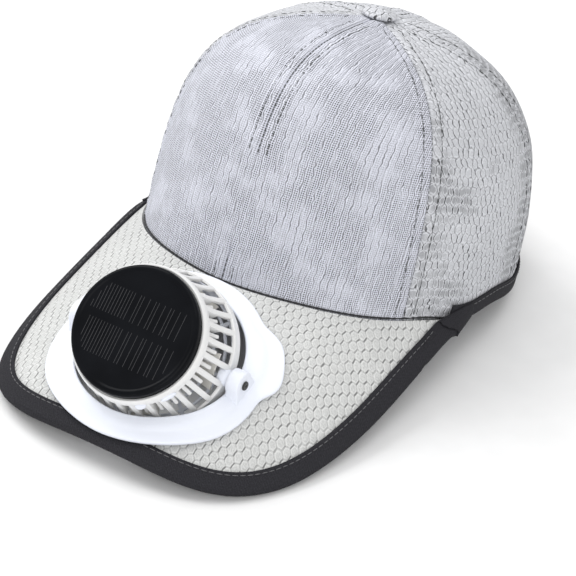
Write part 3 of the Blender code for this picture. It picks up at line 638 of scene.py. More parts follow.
def finish(name):
    """Material of that name, made on its first use."""
    known = bpy.data.materials.get(name)
    if known:
        return known
    sizes, colours = bpy.context.scene.hat_sizes, bpy.context.scene.hat_colours
    cell = (sizes.cell_width, sizes.cell_height)
    makers = {
        "front_cloth": lambda: mesh_cloth(name, tuple(colours.front), (0.0034, 0.0062), (0.72, 0.0), 0.0026, 1.0, 0.0),
        "side_cloth": lambda: mesh_cloth(name, tuple(colours.side), (0.0036, 0.0044), (1.0, 0.50), 0.0040, 0.0, 0.68),
        "peak_cloth": lambda: mesh_cloth(name, tuple(colours.peak), cell, (0.72, 0.20), 0.0012, 0.0, 0.0),
        "under_cloth": lambda: under_finish(tuple(colours.under)),
        "black_tape": lambda: tape_finish(name, tuple(colours.tape)),
        "dark_thread": lambda: thread_finish(name, tuple(colours.thread)),
        "black_thread": lambda: thread_finish(name, (0.02, 0.02, 0.022)),
        "light_thread": lambda: thread_finish(name, (0.11, 0.11, 0.115)),
        "moulded_white": lambda: plastic_finish(name, tuple(colours.plastic), 0.36),
        # Painted light: the impeller is a light beige so that the gaps between the ribs show the light that comes
        # through the translucent housing, not the impeller's shade.
        "lit_inner_plastic": lambda: plastic_finish(name, (0.84, 0.82, 0.77), 0.5),
        "cage_white": lambda: plastic_finish(name, (0.80, 0.80, 0.795), 0.4),
        "moulded_dark": lambda: plastic_finish(name, (0.03, 0.03, 0.03), 0.4),
        "panel_black": lambda: panel_finish(tuple(colours.panel)),
        "cell_line": lambda: metal_finish(name, (0.085, 0.085, 0.09), 0.45),
        "motor_can": lambda: metal_finish(name, (0.30, 0.30, 0.27), 0.42),
        "screw": lambda: metal_finish(name, (0.22, 0.22, 0.22), 0.35),
        "floor": lambda: plastic_finish(name, (0.90, 0.90, 0.90), 0.9),
    }
    return makers[name]()


def stitch_rows(rows, pitch, length, width, height):
    """Stitches as small beads of thread along rows of (point, outward direction)."""
    shape = bmesh.new()
    for row in rows:
        places, outs = [p for p, _ in row], [n for _, n in row]
        lengths = running(places)

        def at(distance):
            i = max(next((k for k, value in enumerate(lengths) if value >= distance), len(lengths) - 1), 1)
            share = (distance - lengths[i - 1]) / max(lengths[i] - lengths[i - 1], 1e-9)
            return places[i - 1].lerp(places[i], share), outs[i]

        for n in range(int((lengths[-1] - length) / pitch)):
            start, _ = at(n * pitch)
            end, out = at(n * pitch + length)
            along = (end - start).normalized()
            side = out.cross(along).normalized()
            axes = Matrix((along * (end - start).length / 2, side * width / 2, side.cross(along) * height / 2))
            place = Matrix.Translation((start + end) / 2) @ axes.transposed().to_4x4()
            bmesh.ops.create_uvsphere(shape, u_segments=6, v_segments=4, radius=1, matrix=place)
    bmesh.ops.recalc_face_normals(shape, faces=shape.faces)
    return shape


def seam_line(seam, offset, low, high, sizes, above):
    """Row of points beside a seam of the crown."""
    row = []
    for i in range(161):
        t = low + (high - low) * i / 160
        reach = crown_reach(seam, t)
        angle = seam + offset * min(1, reach / 0.016) / reach
        out = (REST.to_3x3() @ crown_normal(angle, t)).normalized()
        row.append((cloth_point(angle, t, sizes, above), out))
    return row


def inside(surface, u, v, inward, distance):
    """Parameters of the surface point that lies a distance inward from the point at u, v."""
    for _ in range(2):
        along_u = (surface(u + 0.001, v) - surface(u - 0.001, v)) / 0.002
        along_v = (surface(u, v + 0.001) - surface(u, v - 0.001)) / 0.002
        step = inward * distance / 2
        uu, uv, vv = along_u.dot(along_u), along_u.dot(along_v), along_v.dot(along_v)
        scale = uu * vv - uv * uv
        a, b = along_u.dot(step), along_v.dot(step)
        u, v = u + (a * vv - b * uv) / scale, v + (b * uu - a * uv) / scale
    return u, v


def surface_normal(surface, u, v, away):
    """Unit normal of a surface on the side that faces away from a point."""
    along_u = surface(u + 0.001, v) - surface(u - 0.001, v)
    along_v = surface(u, v + 0.001) - surface(u, v - 0.001)
    normal = along_u.cross(along_v).normalized()
    return normal if normal.dot(surface(u, v) - away) > 0 else -normal


class Edge:
    """Edge of a sheet with frames along it, for a folded tape and its stitches."""

    def __init__(self, surface, away, marks, widths, board, slack):
        self.surface, self.away, self.marks, self.widths = surface, away, marks, widths
        self.half = board / 2 + slack + BINDING_WALL / 2
        self.beyond = slack + BINDING_WALL / 2
        self.places = [surface(u, v) for u, v in marks]
        self.frames = []
        for i, (u, v) in enumerate(marks):
            before, after = self.places[max(i - 1, 0)], self.places[min(i + 1, len(marks) - 1)]
            fold = surface_normal(surface, u, v, away)
            self.frames.append((fold, fold.cross((after - before).normalized())))
        self.last = len(marks) - 1

    def point(self, u, v):
        """Point of the tape, u along it, v from the inner edge below to the inner edge above."""
        i = round(u * self.last)
        fold, inward = self.frames[i]
        turn = (v - 0.5) * 2
        side, bend = math.copysign(1, turn), 0.16
        if abs(turn) <= bend:
            angle = turn / bend * math.pi / 2
            place = self.places[i] - inward * self.beyond * math.cos(angle) + fold * self.half * math.sin(angle)
            return REST @ place
        distance = (abs(turn) - bend) / (1 - bend) * self.widths[i]
        spot = inside(self.surface, *self.marks[i], inward, distance)
        normal = surface_normal(self.surface, *spot, self.away)
        close = 0.00025 * smooth(0.75, 1.0, abs(turn))
        return REST @ (self.surface(*spot) + normal * side * (self.half - close))

    def row(self, side, inset, above, first=0, last=None):
        """Row of points on the tape, a distance in from its inner edge."""
        row = []
        for i in range(first, (last or self.last) + 1):
            fold, inward = self.frames[i]
            spot = inside(self.surface, *self.marks[i], inward, max(self.widths[i] - inset, 0))
            normal = surface_normal(self.surface, *spot, self.away)
            place = self.surface(*spot) + normal * side * (self.half + above)
            row.append((REST @ place, (REST.to_3x3() @ normal * side).normalized()))
        return row


def peak_binding_edge():
    """Outer edge of the peak."""
    columns = peak_columns(221)
    clearance = CLOTH / 2 + 2 * BINDING_SLACK
    widths = [min(PEAK_BINDING, max((peak_point(k, 0) - peak_point(k, 1)).length - clearance, 0.0005)) for k in columns]
    marks = [(k, 1.0) for k in columns]
    return Edge(peak_point, Vector((0, 0, -1)), marks, widths, PEAK_BOARD, BINDING_SLACK)


def hem_binding_edge():
    """Edge of the side hems and of the rear opening, from just inside the ends of the peak."""
    corner, start = math.pi - ARCH_HALF_ANGLE, math.radians(73.6)
    half = [(start + (corner - start) * i / 60, 0.0) for i in range(60)]
    half += [arch_column(i / 60) for i in range(61)]
    marks = half + [(math.tau - angle, t) for angle, t in reversed(half[:-1])]
    return Edge(crown, Vector((0, 0, CROWN_HEIGHT / 4)), marks, [HEM_BINDING] * len(marks), CLOTH, HEM_SLACK)


def gathered(u, waves):
    """Share of the way across with the columns drawn together at the seams."""
    return u - 0.62 * math.sin(math.tau * waves * u) / (math.tau * waves)


def panel_sheet(start, end, columns, rows, waves, sizes, soft):
    """Panel of the crown between two seams."""
    def place(u, v):
        t, u = CROWN_END * v, gathered(u, waves)
        angle = start + (end - start) * u
        angle -= (2 * u - 1) * GAP / 2 / crown_reach(angle, t)
        return cloth_point(angle, t, sizes, 0.0, soft)
    return sheet(columns, rows, place)


def back_sheet(side, columns, rows, sizes, soft):
    """Panel of the crown beside the rear opening."""
    corner, straight = math.pi - ARCH_HALF_ANGLE, 0.34

    def place(u, v):
        u = gathered(u if side > 0 else 1 - u, 1)
        if u < straight:
            angle, low = BACK_SEAM + (corner - BACK_SEAM) * u / straight, 0.0
        else:
            angle, low = arch_column((u - straight) / (1 - straight))
        t = low + (CROWN_END - low) * v
        angle -= (2 * u - 1) * GAP / 2 / crown_reach(angle, t)
        return cloth_point(side * angle, t, sizes, 0.0, soft)
    return sheet(columns, rows, place)


def flange_outline(phi):
    """Outer edge of the flange seen from above, with its two wings."""
    across, along = math.cos(phi) / FLANGE_HALF_WIDTH, math.sin(phi) / FLANGE_HALF_DEPTH
    turn = math.degrees(math.atan2(math.sin(phi), abs(math.cos(phi))))
    radius = 1 / math.hypot(across, along) + WING * math.exp(-((turn - WING_ANGLE) / WING_SPREAD) ** 4)
    return radius * math.cos(phi), -FAN_FORWARD + FLANGE_BACKWARD + radius * math.sin(phi)


def hole_outline(phi, radius):
    """Point on the peak of a cylinder round the fan's hole, seen from above."""
    x, y, slope = radius * math.cos(phi), 0.0, math.tan(hole_pitch())
    for _ in range(12):
        rise = peak_height(x, y - FAN_FORWARD) - hub().z
        y = radius * math.sin(phi) / math.cos(hole_pitch()) - rise * slope
    return x, y - FAN_FORWARD


def plate_lift(y, thickness):
    """Distance of a plate's middle from the board's, more over the binding at the tip of the peak."""
    tip = -HEAD_FRONT - PEAK_REACH + PEAK_BINDING
    ahead = smooth(0, 1, (tip + TIP_LIFT_START - y) / TIP_LIFT_LENGTH)
    return PEAK_BOARD / 2 + SEAT_GAP + thickness / 2 + TIP_LIFT * ahead


class HAT_OT_crown(bpy.types.Operator):
    """Five cloth panels of the crown"""
    bl_idname = "solar_hat.crown"
    bl_label = "Crown panels"

    def execute(self, context):
        sizes = context.scene.hat_sizes
        shapes = (
            ("front_panel", "crown_front", "front_cloth", "backed_mesh",
             panel_sheet(-FRONT_SEAM, FRONT_SEAM, 200, 120, 2, sizes, 0.0009)),
            ("side_panel_left", "crown_side_left", "side_cloth", "open_mesh",
             panel_sheet(FRONT_SEAM, BACK_SEAM, 96, 120, 1, sizes, 0.0016)),
            ("side_panel_right", "crown_side_right", "side_cloth", "open_mesh",
             panel_sheet(-BACK_SEAM, -FRONT_SEAM, 96, 120, 1, sizes, 0.0016)),
            ("back_panel_left", "crown_back_left", "side_cloth", "open_mesh", back_sheet(1, 130, 110, sizes, 0.0014)),
            ("back_panel_right", "crown_back_right", "side_cloth", "open_mesh", back_sheet(-1, 130, 110, sizes, 0.0014)),
        )
        for name, node, cloth, slot, shape in shapes:
            made = piece(name, shape, None, "cap", [finish(cloth)], slot, [node])
            solidify(made, CLOTH)
        return {"FINISHED"}


class HAT_OT_stitching(bpy.types.Operator):
    """Stitches beside the seams of the crown and of the dart in front, and dark dashes along their middles, partly
    painted shade of the grooves
    """
    bl_idname = "solar_hat.stitching"
    bl_label = "Crown stitching"

    def execute(self, context):
        sizes = context.scene.hat_sizes
        above, offset = CLOTH / 2 + 0.00004, sizes.seam_offset
        rows, middles = [], []
        for seam in SEAMS:
            low = ARCH_END + 0.07 if seam == math.pi else 0.012
            rows += [seam_line(seam, side * offset, low, 0.955, sizes, above) for side in (-1, 1)]
            middles.append(seam_line(seam, 0, low, 0.955, sizes, above))
        for low, high in ((TOP_DART, 0.955), (0.004, BOTTOM_DART)):
            rows += [seam_line(0, side * offset, low, high, sizes, above) for side in (-1, 1)]
            middles.append(seam_line(0, 0, low, high, sizes, above + 0.0003))
        shape = stitch_rows(rows, sizes.stitch_pitch, sizes.stitch_length, sizes.thread, sizes.thread)
        piece("seam_stitches", shape, None, "cap", [finish("dark_thread")], "backed_mesh")
        # Dark dashes along the middle of each seam and of the dart: partly the dotted line that runs there, partly
        # painted shade deepening the groove where the panels meet.
        shape = stitch_rows(middles, sizes.stitch_pitch * 0.8, sizes.stitch_length * 0.6, sizes.thread, sizes.thread)
        piece("joint_stitches_and_shade", shape, None, "cap", [finish("dark_thread")], "backed_mesh")
        return {"FINISHED"}


class HAT_OT_button(bpy.types.Operator):
    """Button on top, covered with the mesh cloth"""
    bl_idname = "solar_hat.button"
    bl_label = "Button"

    def execute(self, context):
        steps = 14
        dome = [(BUTTON_RADIUS * math.sin(i / steps * math.pi / 2),
                 0.001 + (BUTTON_HEIGHT - 0.001) * math.cos(i / steps * math.pi / 2)) for i in range(steps + 1)]
        shape = turned(dome + [(BUTTON_RADIUS - 0.0004, 0.0003), (BUTTON_RADIUS - 0.0012, 0), (0, 0)], 64)
        for vert in shape.verts:
            turn = math.atan2(vert.co.y, vert.co.x)
            fold = 1 + 0.02 * math.sin(turn * 9) * smooth(0.3, 1.0, vert.co.xy.length / BUTTON_RADIUS)
            vert.co.x *= fold
            vert.co.y *= fold
        planar_uv(shape)
        place = REST @ Matrix.Translation((0, -BUTTON_FORWARD, CROWN_HEIGHT + CLOTH / 2 + 2 * GAP))
        piece("button_cover", shape, place, "cap", [finish("side_cloth")], "backed_mesh", ["top_button"])
        return {"FINISHED"}


class HAT_OT_peak(bpy.types.Operator):
    """Peak with its mesh cover, dark underside and the black welt at the crown"""
    bl_idname = "solar_hat.peak"
    bl_label = "Peak"

    def execute(self, context):
        columns = peak_columns(181)

        def place(u, v):
            k = columns[round(u * 180)]
            return REST @ peak_point(k, 1 - (1 - v) ** 1.3)

        slope = 1.12
        back = REST.inverted()
        shape = sheet(180, 60, place, lay=lambda p: ((back @ p).x, (back @ p).y * slope))
        bmesh.ops.reverse_faces(shape, faces=shape.faces)
        made = piece("peak_cover", shape, None, "cap", [finish("peak_cloth"), finish("under_cloth")], "peak_mesh",
                     ["peak"])
        solidify(made, PEAK_BOARD, back=1)
        cutter_shape = bmesh.new()
        bmesh.ops.create_cone(cutter_shape, cap_ends=True, segments=96, radius1=PEAK_HOLE_RADIUS,
                              radius2=PEAK_HOLE_RADIUS, depth=2 * PEAK_HOLE_RADIUS, matrix=SEAT)
        mesh = bpy.data.meshes.new("hole")
        cutter_shape.to_mesh(mesh)
        cutter_shape.free()
        cutter = bpy.data.objects.new("hole", mesh)
        context.scene.collection.objects.link(cutter)
        cut = made.modifiers.new("hole", "BOOLEAN")
        cut.operation, cut.object, cut.solver = "DIFFERENCE", cutter, "EXACT"
        settle(made)
        bpy.data.objects.remove(cutter)
        bpy.data.meshes.remove(mesh)
        made.data.shade_smooth()
        made.data.set_sharp_from_angle(angle=math.radians(40))

        def welt(u, v):
            angle = (2 * u - 1) * PEAK_END
            out = crown_normal(angle, 0.01)
            centre = peak_point(2 * u - 1, 0) - out * BINDING_SLACK * 0.6
            centre.z += PEAK_BOARD / 2 + 0.0002
            turn = math.tau * v
            wave = 1 + 0.18 * math.sin(u * 420)
            return REST @ (centre + (out * math.cos(turn) + Vector((0, 0, 1)) * math.sin(turn)) * 0.00046 * wave)

        piece("peak_welt", sheet(240, 8, welt, closed=True), None, "cap", [finish("black_thread")], "binding")
        return {"FINISHED"}


class HAT_OT_bindings(bpy.types.Operator):
    """Black tape round the peak, the hems and the rear opening, with its stitches"""
    bl_idname = "solar_hat.bindings"
    bl_label = "Bindings"

    def execute(self, context):
        sizes = context.scene.hat_sizes
        rows = []
        for name, node, edge in (("peak_tape", "peak_binding", peak_binding_edge()),
                                 ("hem_tape", "hem_binding", hem_binding_edge())):
            made = piece(name, sheet(edge.last, 24, edge.point), None, "cap", [finish("black_tape")], "binding", [node],
                         crease=60)
            solidify(made, BINDING_WALL)
            rows += [edge.row(side, 0.0016, BINDING_WALL / 2 + 0.00005, 6, edge.last - 6) for side in (-1, 1)]
        shape = stitch_rows(rows, sizes.stitch_pitch * 1.15, sizes.stitch_length * 0.95, sizes.thread * 0.9, sizes.thread)
        piece("tape_stitches", shape, None, "cap", [finish("light_thread")], "binding")
        peak, side = peak_binding_edge(), hem_binding_edge()
        full = [i for i, width in enumerate(peak.widths) if width >= PEAK_BINDING]
        for word, first, end, second in (("left", full[-1] / peak.last, 1.0, 7 / side.last),
                                         ("right", full[0] / peak.last, 0.0, 1 - 7 / side.last)):
            def lap(u, v):
                start = peak.point(end + (first - end) * v, 0.5 + 0.5 * v)
                return start.lerp(side.point(second, 0.5 + 0.5 * v), u)

            shape = sheet(16, 10, lap)
            shape.normal_update()
            middle = REST @ Vector((0, 0, -0.02))
            for vert in shape.verts:
                out = vert.normal if vert.normal.dot(vert.co - middle) > 0 else -vert.normal
                vert.co += out * BINDING_WALL * 1.1
            made = piece(f"tape_lap_{word}", shape, None, "cap", [finish("black_tape")], "binding", crease=60)
            solidify(made, BINDING_WALL)
        return {"FINISHED"}


class HAT_OT_strap(bpy.types.Operator):
    """Strap across the rear opening"""
    bl_idname = "solar_hat.strap"
    bl_label = "Rear strap"

    def execute(self, context):
        sizes = context.scene.hat_sizes
        depth = CLOTH + HEM_SLACK + BINDING_WALL + GAP
        start = math.pi - ARCH_HALF_ANGLE - STRAP_OVERLAP

        def strap_point(u, v):
            angle = start + (math.tau - 2 * start) * u
            t = crown_share(angle, STRAP_ABOVE_HEM + STRAP_HEIGHT * v)
            return REST @ (crown(angle, t) - crown_normal(angle, t) * depth)

        made = piece("strap_tape", sheet(64, 12, strap_point), None, "cap", [finish("black_tape")], "binding",
                     ["rear_strap"])
        solidify(made, CLOTH)
        rows = []
        for height in (0.08, 0.92):
            row = []
            for i in range(81):
                angle = start + (math.tau - 2 * start) * i / 80
                t = crown_share(angle, STRAP_ABOVE_HEM + STRAP_HEIGHT * height)
                out = crown_normal(angle, t)
                row.append((REST @ (crown(angle, t) - out * (depth - CLOTH / 2 - 0.0001)), REST.to_3x3() @ out))
            rows.append(row)
        shape = stitch_rows(rows, sizes.stitch_pitch, sizes.stitch_length, sizes.thread, sizes.thread)
        piece("strap_stitches", shape, None, "cap", [finish("light_thread")], "binding")
        return {"FINISHED"}


class HAT_OT_flange(bpy.types.Operator):
    """White flange on the peak with its ears, the ring below and the pivot screws"""
    bl_idname = "solar_hat.flange"
    bl_label = "Fan flange"

    def execute(self, context):
        def plate(u, v):
            phi = math.tau * u
            (x0, y0), (x1, y1) = hole_outline(phi, HOLE_RADIUS), flange_outline(phi)
            x, y = x0 + (x1 - x0) * v, y0 + (y1 - y0) * v
            wide = math.dist((x0, y0), (x1, y1))
            away = wide * v
            collar = 0.0013 * (1 - smooth(0.35 * wide, 0.62 * wide, away)) * smooth(0.006, 0.011, wide)
            lift = plate_lift(y, FLANGE) + collar
            return REST @ (Vector((x, y, peak_height(x, y))) + peak_normal(x, y) * lift)

        made = piece("flange_plate", sheet(160, 10, plate, closed=True), None, "cap", [finish("moulded_white")],
                     "white_plastic", ["fan_flange"])
        solidify(made, FLANGE)
        round_edges(made, 0.0008, 3)
        ring_radius = PEAK_HOLE_RADIUS + RING_WIDTH

        def ring(u, v):
            phi = math.tau * u
            x, y = hole_outline(phi, PEAK_HOLE_RADIUS + (ring_radius - PEAK_HOLE_RADIUS) * (1 - v))
            return REST @ (Vector((x, y, peak_height(x, y))) - peak_normal(x, y) * plate_lift(y, RING))

        made = piece("clamp_ring", sheet(120, 4, ring, closed=True), None, "cap", [finish("moulded_white")],
                     "white_plastic", ["retaining_ring"])
        solidify(made, RING)
        round_edges(made, 0.0004, 2)
        arc = [(EAR_RADIUS * math.cos(math.pi * i / 16), EAR_RADIUS * math.sin(math.pi * i / 16)) for i in range(17)]
        foot = -0.0085
        for side, word in ((1, "left"), (-1, "right")):
            outline = arc + [(-EAR_RADIUS, -0.001), (-EAR_FOOT, foot), (EAR_FOOT, foot), (EAR_RADIUS, -0.001)]
            ends = sorted((side * EAR_INNER, side * EAR_OUTER))
            shape = rounded_prism(outline, ends[0], ends[1], 0.0008)
            piece(f"pivot_ear_{word}", shape, SEAT, "cap", [finish("moulded_white")], "white_plastic")
            profile = [(0, 0.0002), (0.0004, 0.0002), (0.0006, 0.0007), (CAP_RADIUS - 0.0006, 0.0009),
                       (CAP_RADIUS - 0.0002, 0.0008), (CAP_RADIUS, 0.0004), (CAP_RADIUS, 0), (0, 0)]
            face = SEAT @ Matrix.Translation((side * (EAR_OUTER + GAP * 0.5), 0, 0))
            face = face @ Matrix.Rotation(side * math.pi / 2, 4, "Y")
            piece(f"pivot_screw_{word}", turned(profile, 24), face, "cap", [finish("moulded_dark")], "dark_plastic",
                  [f"pivot_cap_{word}"])
        return {"FINISHED"}


class HAT_OT_housing(bpy.types.Operator):
    """Slotted fan housing: rim under the panel, deep ribs, lower ring, lugs and pins"""
    bl_idname = "solar_hat.housing"
    bl_label = "Fan housing"

    def execute(self, context):
        seat, neck, top, high = PANEL_RADIUS + GAP, NECK_RADIUS, HOUSING_TOP, SLOT_HIGH
        rim = [(0, PLATE_TOP), (seat, PLATE_TOP), (seat, top - 0.0003), (seat + 0.0003, top), (seat + 0.0007, top),
               (neck - 0.0007, top - 0.0005), (neck - 0.0002, top - 0.0012), (neck, top - 0.0022), (neck, high + 0.0010),
               (neck + 0.0001, high + 0.0003), (neck - 0.0004, high - 0.0004), (neck - 0.0014, high - 0.0003),
               (neck - 0.0022, high + 0.0008), (seat - 0.0008, PLATE_TOP - PLATE), (0, PLATE_TOP - PLATE)]
        piece("housing_rim", turned(rim, 128), HINGE, "fan_head", [finish("cage_white")], "white_plastic",
              ["fan_housing"], crease=30)
        outer, low = HOUSING_RADIUS, -HOUSING_BELOW
        section = [(outer - 0.0016, SLOT_LOW), (outer - 0.0013, SLOT_LOW + 0.0005), (outer - 0.0004, SLOT_LOW + 0.0005),
                   (outer, SLOT_LOW), (outer - 0.0004, low + 0.0004), (outer - 0.0008, low), (outer - 0.0013, low),
                   (outer - 0.0016, low + 0.0004)]
        piece("housing_ring", turned(section, 128, closed=True), HINGE, "fan_head", [finish("cage_white")],
              "white_plastic", crease=30)
        fin = [(neck - 0.0002, high + 0.0006), (neck + 0.0005, high * 0.78), (neck + 0.0016, high * 0.52),
               (neck + 0.0031, high * 0.26), (outer - 0.0001, SLOT_LOW), (outer - 0.0014, SLOT_LOW - 0.001),
               (outer - 0.0032, SLOT_LOW + 0.003), (outer - 0.0040, high * 0.47), (outer - 0.0120, high * 0.53),
               (outer - 0.0150, high * 0.66), (outer - 0.0155, high + 0.0012), (neck - 0.0018, high + 0.0014)]
        vane = [(neck - 0.0030, high + 0.0006), (neck - 0.0020, high * 0.78), (neck - 0.0004, high * 0.56),
                (outer - 0.0042, high * 0.50), (outer - 0.0120, high * 0.55), (outer - 0.0150, high * 0.66),
                (outer - 0.0155, high + 0.0012)]
        turn = Matrix(((0, 1, 0, 0), (-1, 0, 0, 0), (0, 0, 1, 0), (0, 0, 0, 1)))
        ribs = bmesh.new()
        for outline, half, shift in ((fin, 0.0013, 0.5), (vane, 0.0009, 0.0)):
            one = rounded_prism(outline, -half, half, 0.0004, 2)
            for i in range(RIBS):
                add(ribs, one, Matrix.Rotation(math.tau * (i + shift) / RIBS, 4, "Z") @ turn)
            one.free()
        bmesh.ops.recalc_face_normals(ribs, faces=ribs.faces)
        piece("housing_ribs", ribs, HINGE, "fan_head", [finish("cage_white")], "white_plastic", crease=35)
        lugs = bmesh.new()
        for degrees, length, height, thick in ((-62.0, 0.0052, 0.0026, 0.0016), (-38.0, 0.0075, 0.0030, 0.0010)):
            place = Matrix.Rotation(math.radians(degrees), 4, "Z") @ Matrix.Translation((neck + 0.0002, 0, high + 0.0004))
            size = Matrix.Diagonal((thick, length / 2, height / 2, 1))
            bmesh.ops.create_uvsphere(lugs, u_segments=24, v_segments=14, radius=1, matrix=place @ size)
        piece("housing_lugs", lugs, HINGE, "fan_head", [finish("moulded_white")], "white_plastic", crease=60)
        end = EAR_OUTER - (EAR_OUTER - EAR_INNER) / 3
        for side, word in ((1, "left"), (-1, "right")):
            profile = [(0, end), (PIN_RADIUS - 0.0004, end), (PIN_RADIUS, end - 0.0004), (PIN_RADIUS, EAR_INNER - 0.0003),
                       (PIN_RADIUS + 0.0007, EAR_INNER - 0.0006), (PIN_RADIUS + 0.0008, outer + 0.0006),
                       (0.0037, outer + 0.0002), (0.0040, outer - 0.0004), (0.0040, outer - 0.0034),
                       (0.0036, outer - 0.0038), (0, outer - 0.0038)]
            place = HINGE @ Matrix.Rotation(side * math.pi / 2, 4, "Y")
            piece(f"pivot_pin_{word}", turned(profile, 40), place, "fan_head", [finish("moulded_white")], "white_plastic",
                  crease=30)
        return {"FINISHED"}


class HAT_OT_solar_panel(bpy.types.Operator):
    """Round solar panel with its raised rim and the fine lines of its cells"""
    bl_idname = "solar_hat.solar_panel"
    bl_label = "Solar panel"

    def execute(self, context):
        low, top, radius = PLATE_TOP + GAP, PANEL_TOP, PANEL_RADIUS
        glass = top - 0.0005
        profile = [(0, glass), (radius - 0.0034, glass), (radius - 0.0030, glass + 0.0001), (radius - 0.0025, top - 0.0001),
                   (radius - 0.0020, top), (radius - 0.0013, top - 0.0001), (radius - 0.0007, top - 0.0004),
                   (radius - 0.0003, top - 0.0009), (radius - 0.0001, top - 0.0015), (radius, top - 0.0024),
                   (radius, low), (0, low)]
        piece("panel_cover", turned(profile, 160), HINGE, "fan_head", [finish("panel_black")], "solar_panel",
              ["solar_panel"], crease=30)
        lines = bmesh.new()
        for start, y_low, y_high in ((-0.0240, 0.0022, 0.0150), (-0.0220, -0.0165, -0.0016)):
            x = start
            for n in range(22):
                reach = math.sqrt(max((radius - 0.0050) ** 2 - x * x, 0))
                first, last = max(y_low, -reach), min(y_high, reach)
                size = Matrix.Diagonal((0.00018, last - first, 0.00006, 1))
                bmesh.ops.create_cube(lines, size=1, matrix=Matrix.Translation((x, (first + last) / 2, glass)) @ size)
                x += 0.00155 if n < 11 else (0.0031 if n % 3 else 0.00155)
        piece("cell_lines", lines, HINGE, "fan_head", [finish("cell_line")], "solar_panel")
        return {"FINISHED"}


class HAT_OT_fan(bpy.types.Operator):
    """Motor, impeller and the guard below it"""
    bl_idname = "solar_hat.fan"
    bl_label = "Fan"

    def execute(self, context):
        low = MOTOR_TOP - MOTOR_HEIGHT
        can = [(0, MOTOR_TOP), (MOTOR_RADIUS, MOTOR_TOP), (MOTOR_RADIUS, low + 0.0032), (MOTOR_RADIUS - 0.0003, low + 0.003),
               (MOTOR_RADIUS - 0.0003, low + 0.0026), (MOTOR_RADIUS, low + 0.0024), (MOTOR_RADIUS, low + 0.0008),
               (MOTOR_RADIUS - 0.0008, low), (0, low)]
        piece("motor_can", turned(can, 64), HINGE, "fan_head", [finish("motor_can")], "motor", ["fan_motor"], crease=30)
        low = ROTOR_TOP - ROTOR_HEIGHT
        cup = [(0, ROTOR_TOP), (ROTOR_RADIUS - 0.0006, ROTOR_TOP), (ROTOR_RADIUS, ROTOR_TOP - 0.0006),
               (ROTOR_RADIUS, low + 0.0022), (ROTOR_RADIUS - 0.0006, low + 0.0009), (ROTOR_RADIUS - 0.0018, low), (0, low)]
        rotor = turned(cup, 64)
        planar_uv(rotor)

        def blade(u, v):
            radius = 0.0085 + (IMPELLER_RADIUS - 0.0085) * u
            half = (0.0100 + 0.0070 * u) / 2
            pitch = math.radians(42 - 20 * u)
            end = (2 * v - 1) * half
            camber = 0.0012 * (1 - (2 * v - 1) ** 2)
            return Vector((radius, end * math.cos(pitch), ROTOR_TOP - ROTOR_HEIGHT / 2 + end * math.sin(pitch) + camber))

        one = sheet(16, 10, blade)
        bmesh.ops.solidify(one, geom=one.faces, thickness=0.0011)
        for i in range(BLADES):
            add(rotor, one, Matrix.Rotation(math.tau * i / BLADES, 4, "Z"))
        one.free()
        bmesh.ops.recalc_face_normals(rotor, faces=rotor.faces)
        piece("impeller", rotor, HINGE, "impeller", [finish("lit_inner_plastic")], "white_plastic", ["fan_impeller"], crease=30)
        outer, base = HOUSING_RADIUS - 0.0016 - GAP, -HOUSING_BELOW
        top = base + GUARD
        grille = turned([(outer - GUARD_RING, top), (outer, top), (outer, base), (outer - GUARD_RING, base)], 96, True)
        add(grille, turned([(0, top), (GUARD_HUB - 0.0004, top), (GUARD_HUB, top - 0.0004), (GUARD_HUB, base + 0.0003),
                            (GUARD_HUB - 0.0005, base), (0, base)], 64), Matrix.Identity(4))
        for radius in (0.0165, 0.0230, 0.0285):
            add(grille, turned([(radius, top - 0.0002), (radius + 0.0011, top - 0.0002), (radius + 0.0011, base + 0.0002),
                                (radius, base + 0.0002)], 80, True), Matrix.Identity(4))
        for i in range(2 * GUARD_BARS):
            place = Matrix.Rotation(math.pi * i / GUARD_BARS, 4, "Z") @ Matrix.Translation(
                ((GUARD_HUB + outer) / 2 - 0.0005, 0, (top + base) / 2))
            size = Matrix.Diagonal((outer - GUARD_HUB - 0.0006, 0.0016, GUARD * 0.7, 1))
            bmesh.ops.create_cube(grille, size=1, matrix=place @ size)
        bmesh.ops.recalc_face_normals(grille, faces=grille.faces)
        piece("guard_grille", grille, HINGE, "fan_head", [finish("moulded_white")], "white_plastic", ["fan_guard"])
        return {"FINISHED"}


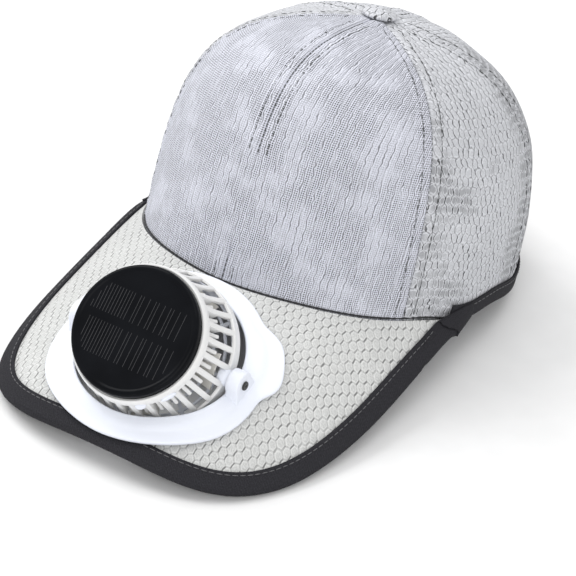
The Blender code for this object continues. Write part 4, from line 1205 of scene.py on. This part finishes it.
class HAT_OT_stage(bpy.types.Operator):
    """Pale floor, soft light and the camera at the photograph's angle"""
    bl_idname = "solar_hat.stage"
    bl_label = "Stage"

    def execute(self, context):
        shape = bmesh.new()
        bmesh.ops.create_grid(shape, x_segments=1, y_segments=1, size=6)
        mesh = bpy.data.meshes.new("floor")
        shape.to_mesh(mesh)
        shape.free()
        mesh.materials.append(finish("floor"))
        floor = bpy.data.objects.new("floor", mesh)
        floor.location.z = -0.0002
        context.scene.collection.objects.link(floor)
        world = bpy.data.worlds.new("studio")
        world.use_nodes = True
        world.node_tree.nodes["Background"].inputs["Color"].default_value = (1.0, 1.0, 1.0, 1)
        world.node_tree.nodes["Background"].inputs["Strength"].default_value = 0.64
        context.scene.world = world
        lights = (("key_light", (-1.5, 0.1, 1.7), 1.6, 31.0), ("fill_light", (0.9, -1.7, 1.0), 1.6, 15.0),
                  ("top_light", (0.4, 0.5, 2.2), 1.6, 12.0))
        for name, place, size, power in lights:
            light = bpy.data.lights.new(name, "AREA")
            light.size, light.energy = size, power
            lamp = bpy.data.objects.new(name, light)
            lamp.location = place
            lamp.rotation_euler = (Vector((0, 0, 0.05)) - Vector(place)).to_track_quat("-Z", "Y").to_euler()
            context.scene.collection.objects.link(lamp)
        lens = bpy.data.cameras.new("camera")
        lens.lens = 3196.8 / 576 * lens.sensor_width
        camera = bpy.data.objects.new("camera", lens)
        context.scene.collection.objects.link(camera)
        turn = Matrix.Rotation(math.radians(26.0), 4, "Z") @ Matrix.Rotation(math.radians(90 - 21.11), 4, "X")
        camera.matrix_world = (REST @ Matrix.Translation((0.0158, -0.0692, 0.0032)) @ turn
                               @ Matrix.Rotation(math.radians(13.0), 4, "Z") @ Matrix.Translation((0, 0, 1.4515)))
        lens.clip_start, lens.clip_end = 0.05, 50
        context.scene.camera = camera
        context.scene.view_settings.view_transform = "Standard"
        return {"FINISHED"}


class HAT_PT_build(bpy.types.Panel):
    """Steps that build the hat"""
    bl_idname = "HAT_PT_build"
    bl_label = "Solar fan hat"
    bl_space_type = "VIEW_3D"
    bl_region_type = "UI"
    bl_category = "Hat"

    def draw(self, context):
        for group in (context.scene.hat_sizes, context.scene.hat_colours):
            for key in type(group).__annotations__:
                self.layout.prop(group, key)
        for step in STEPS:
            self.layout.operator(step.bl_idname)


STEPS = (HAT_OT_stage, HAT_OT_crown, HAT_OT_stitching, HAT_OT_button, HAT_OT_peak, HAT_OT_bindings, HAT_OT_strap,
         HAT_OT_flange, HAT_OT_housing, HAT_OT_solar_panel, HAT_OT_fan)
CLASSES = (HatSizes, HatColours, *STEPS, HAT_PT_build)


def register():
    for made in CLASSES:
        bpy.utils.register_class(made)
    bpy.types.Scene.hat_sizes = bpy.props.PointerProperty(type=HatSizes)
    bpy.types.Scene.hat_colours = bpy.props.PointerProperty(type=HatColours)


def unregister():
    del bpy.types.Scene.hat_colours
    del bpy.types.Scene.hat_sizes
    for made in reversed(CLASSES):
        bpy.utils.unregister_class(made)


def main():
    """Build every piece."""
    register()
    for step in STEPS:
        group, name = step.bl_idname.split(".")
        if getattr(getattr(bpy.ops, group), name)() != {"FINISHED"}:
            raise RuntimeError(f"{step.bl_label} was not built")


if __name__ == "__main__":
    main()
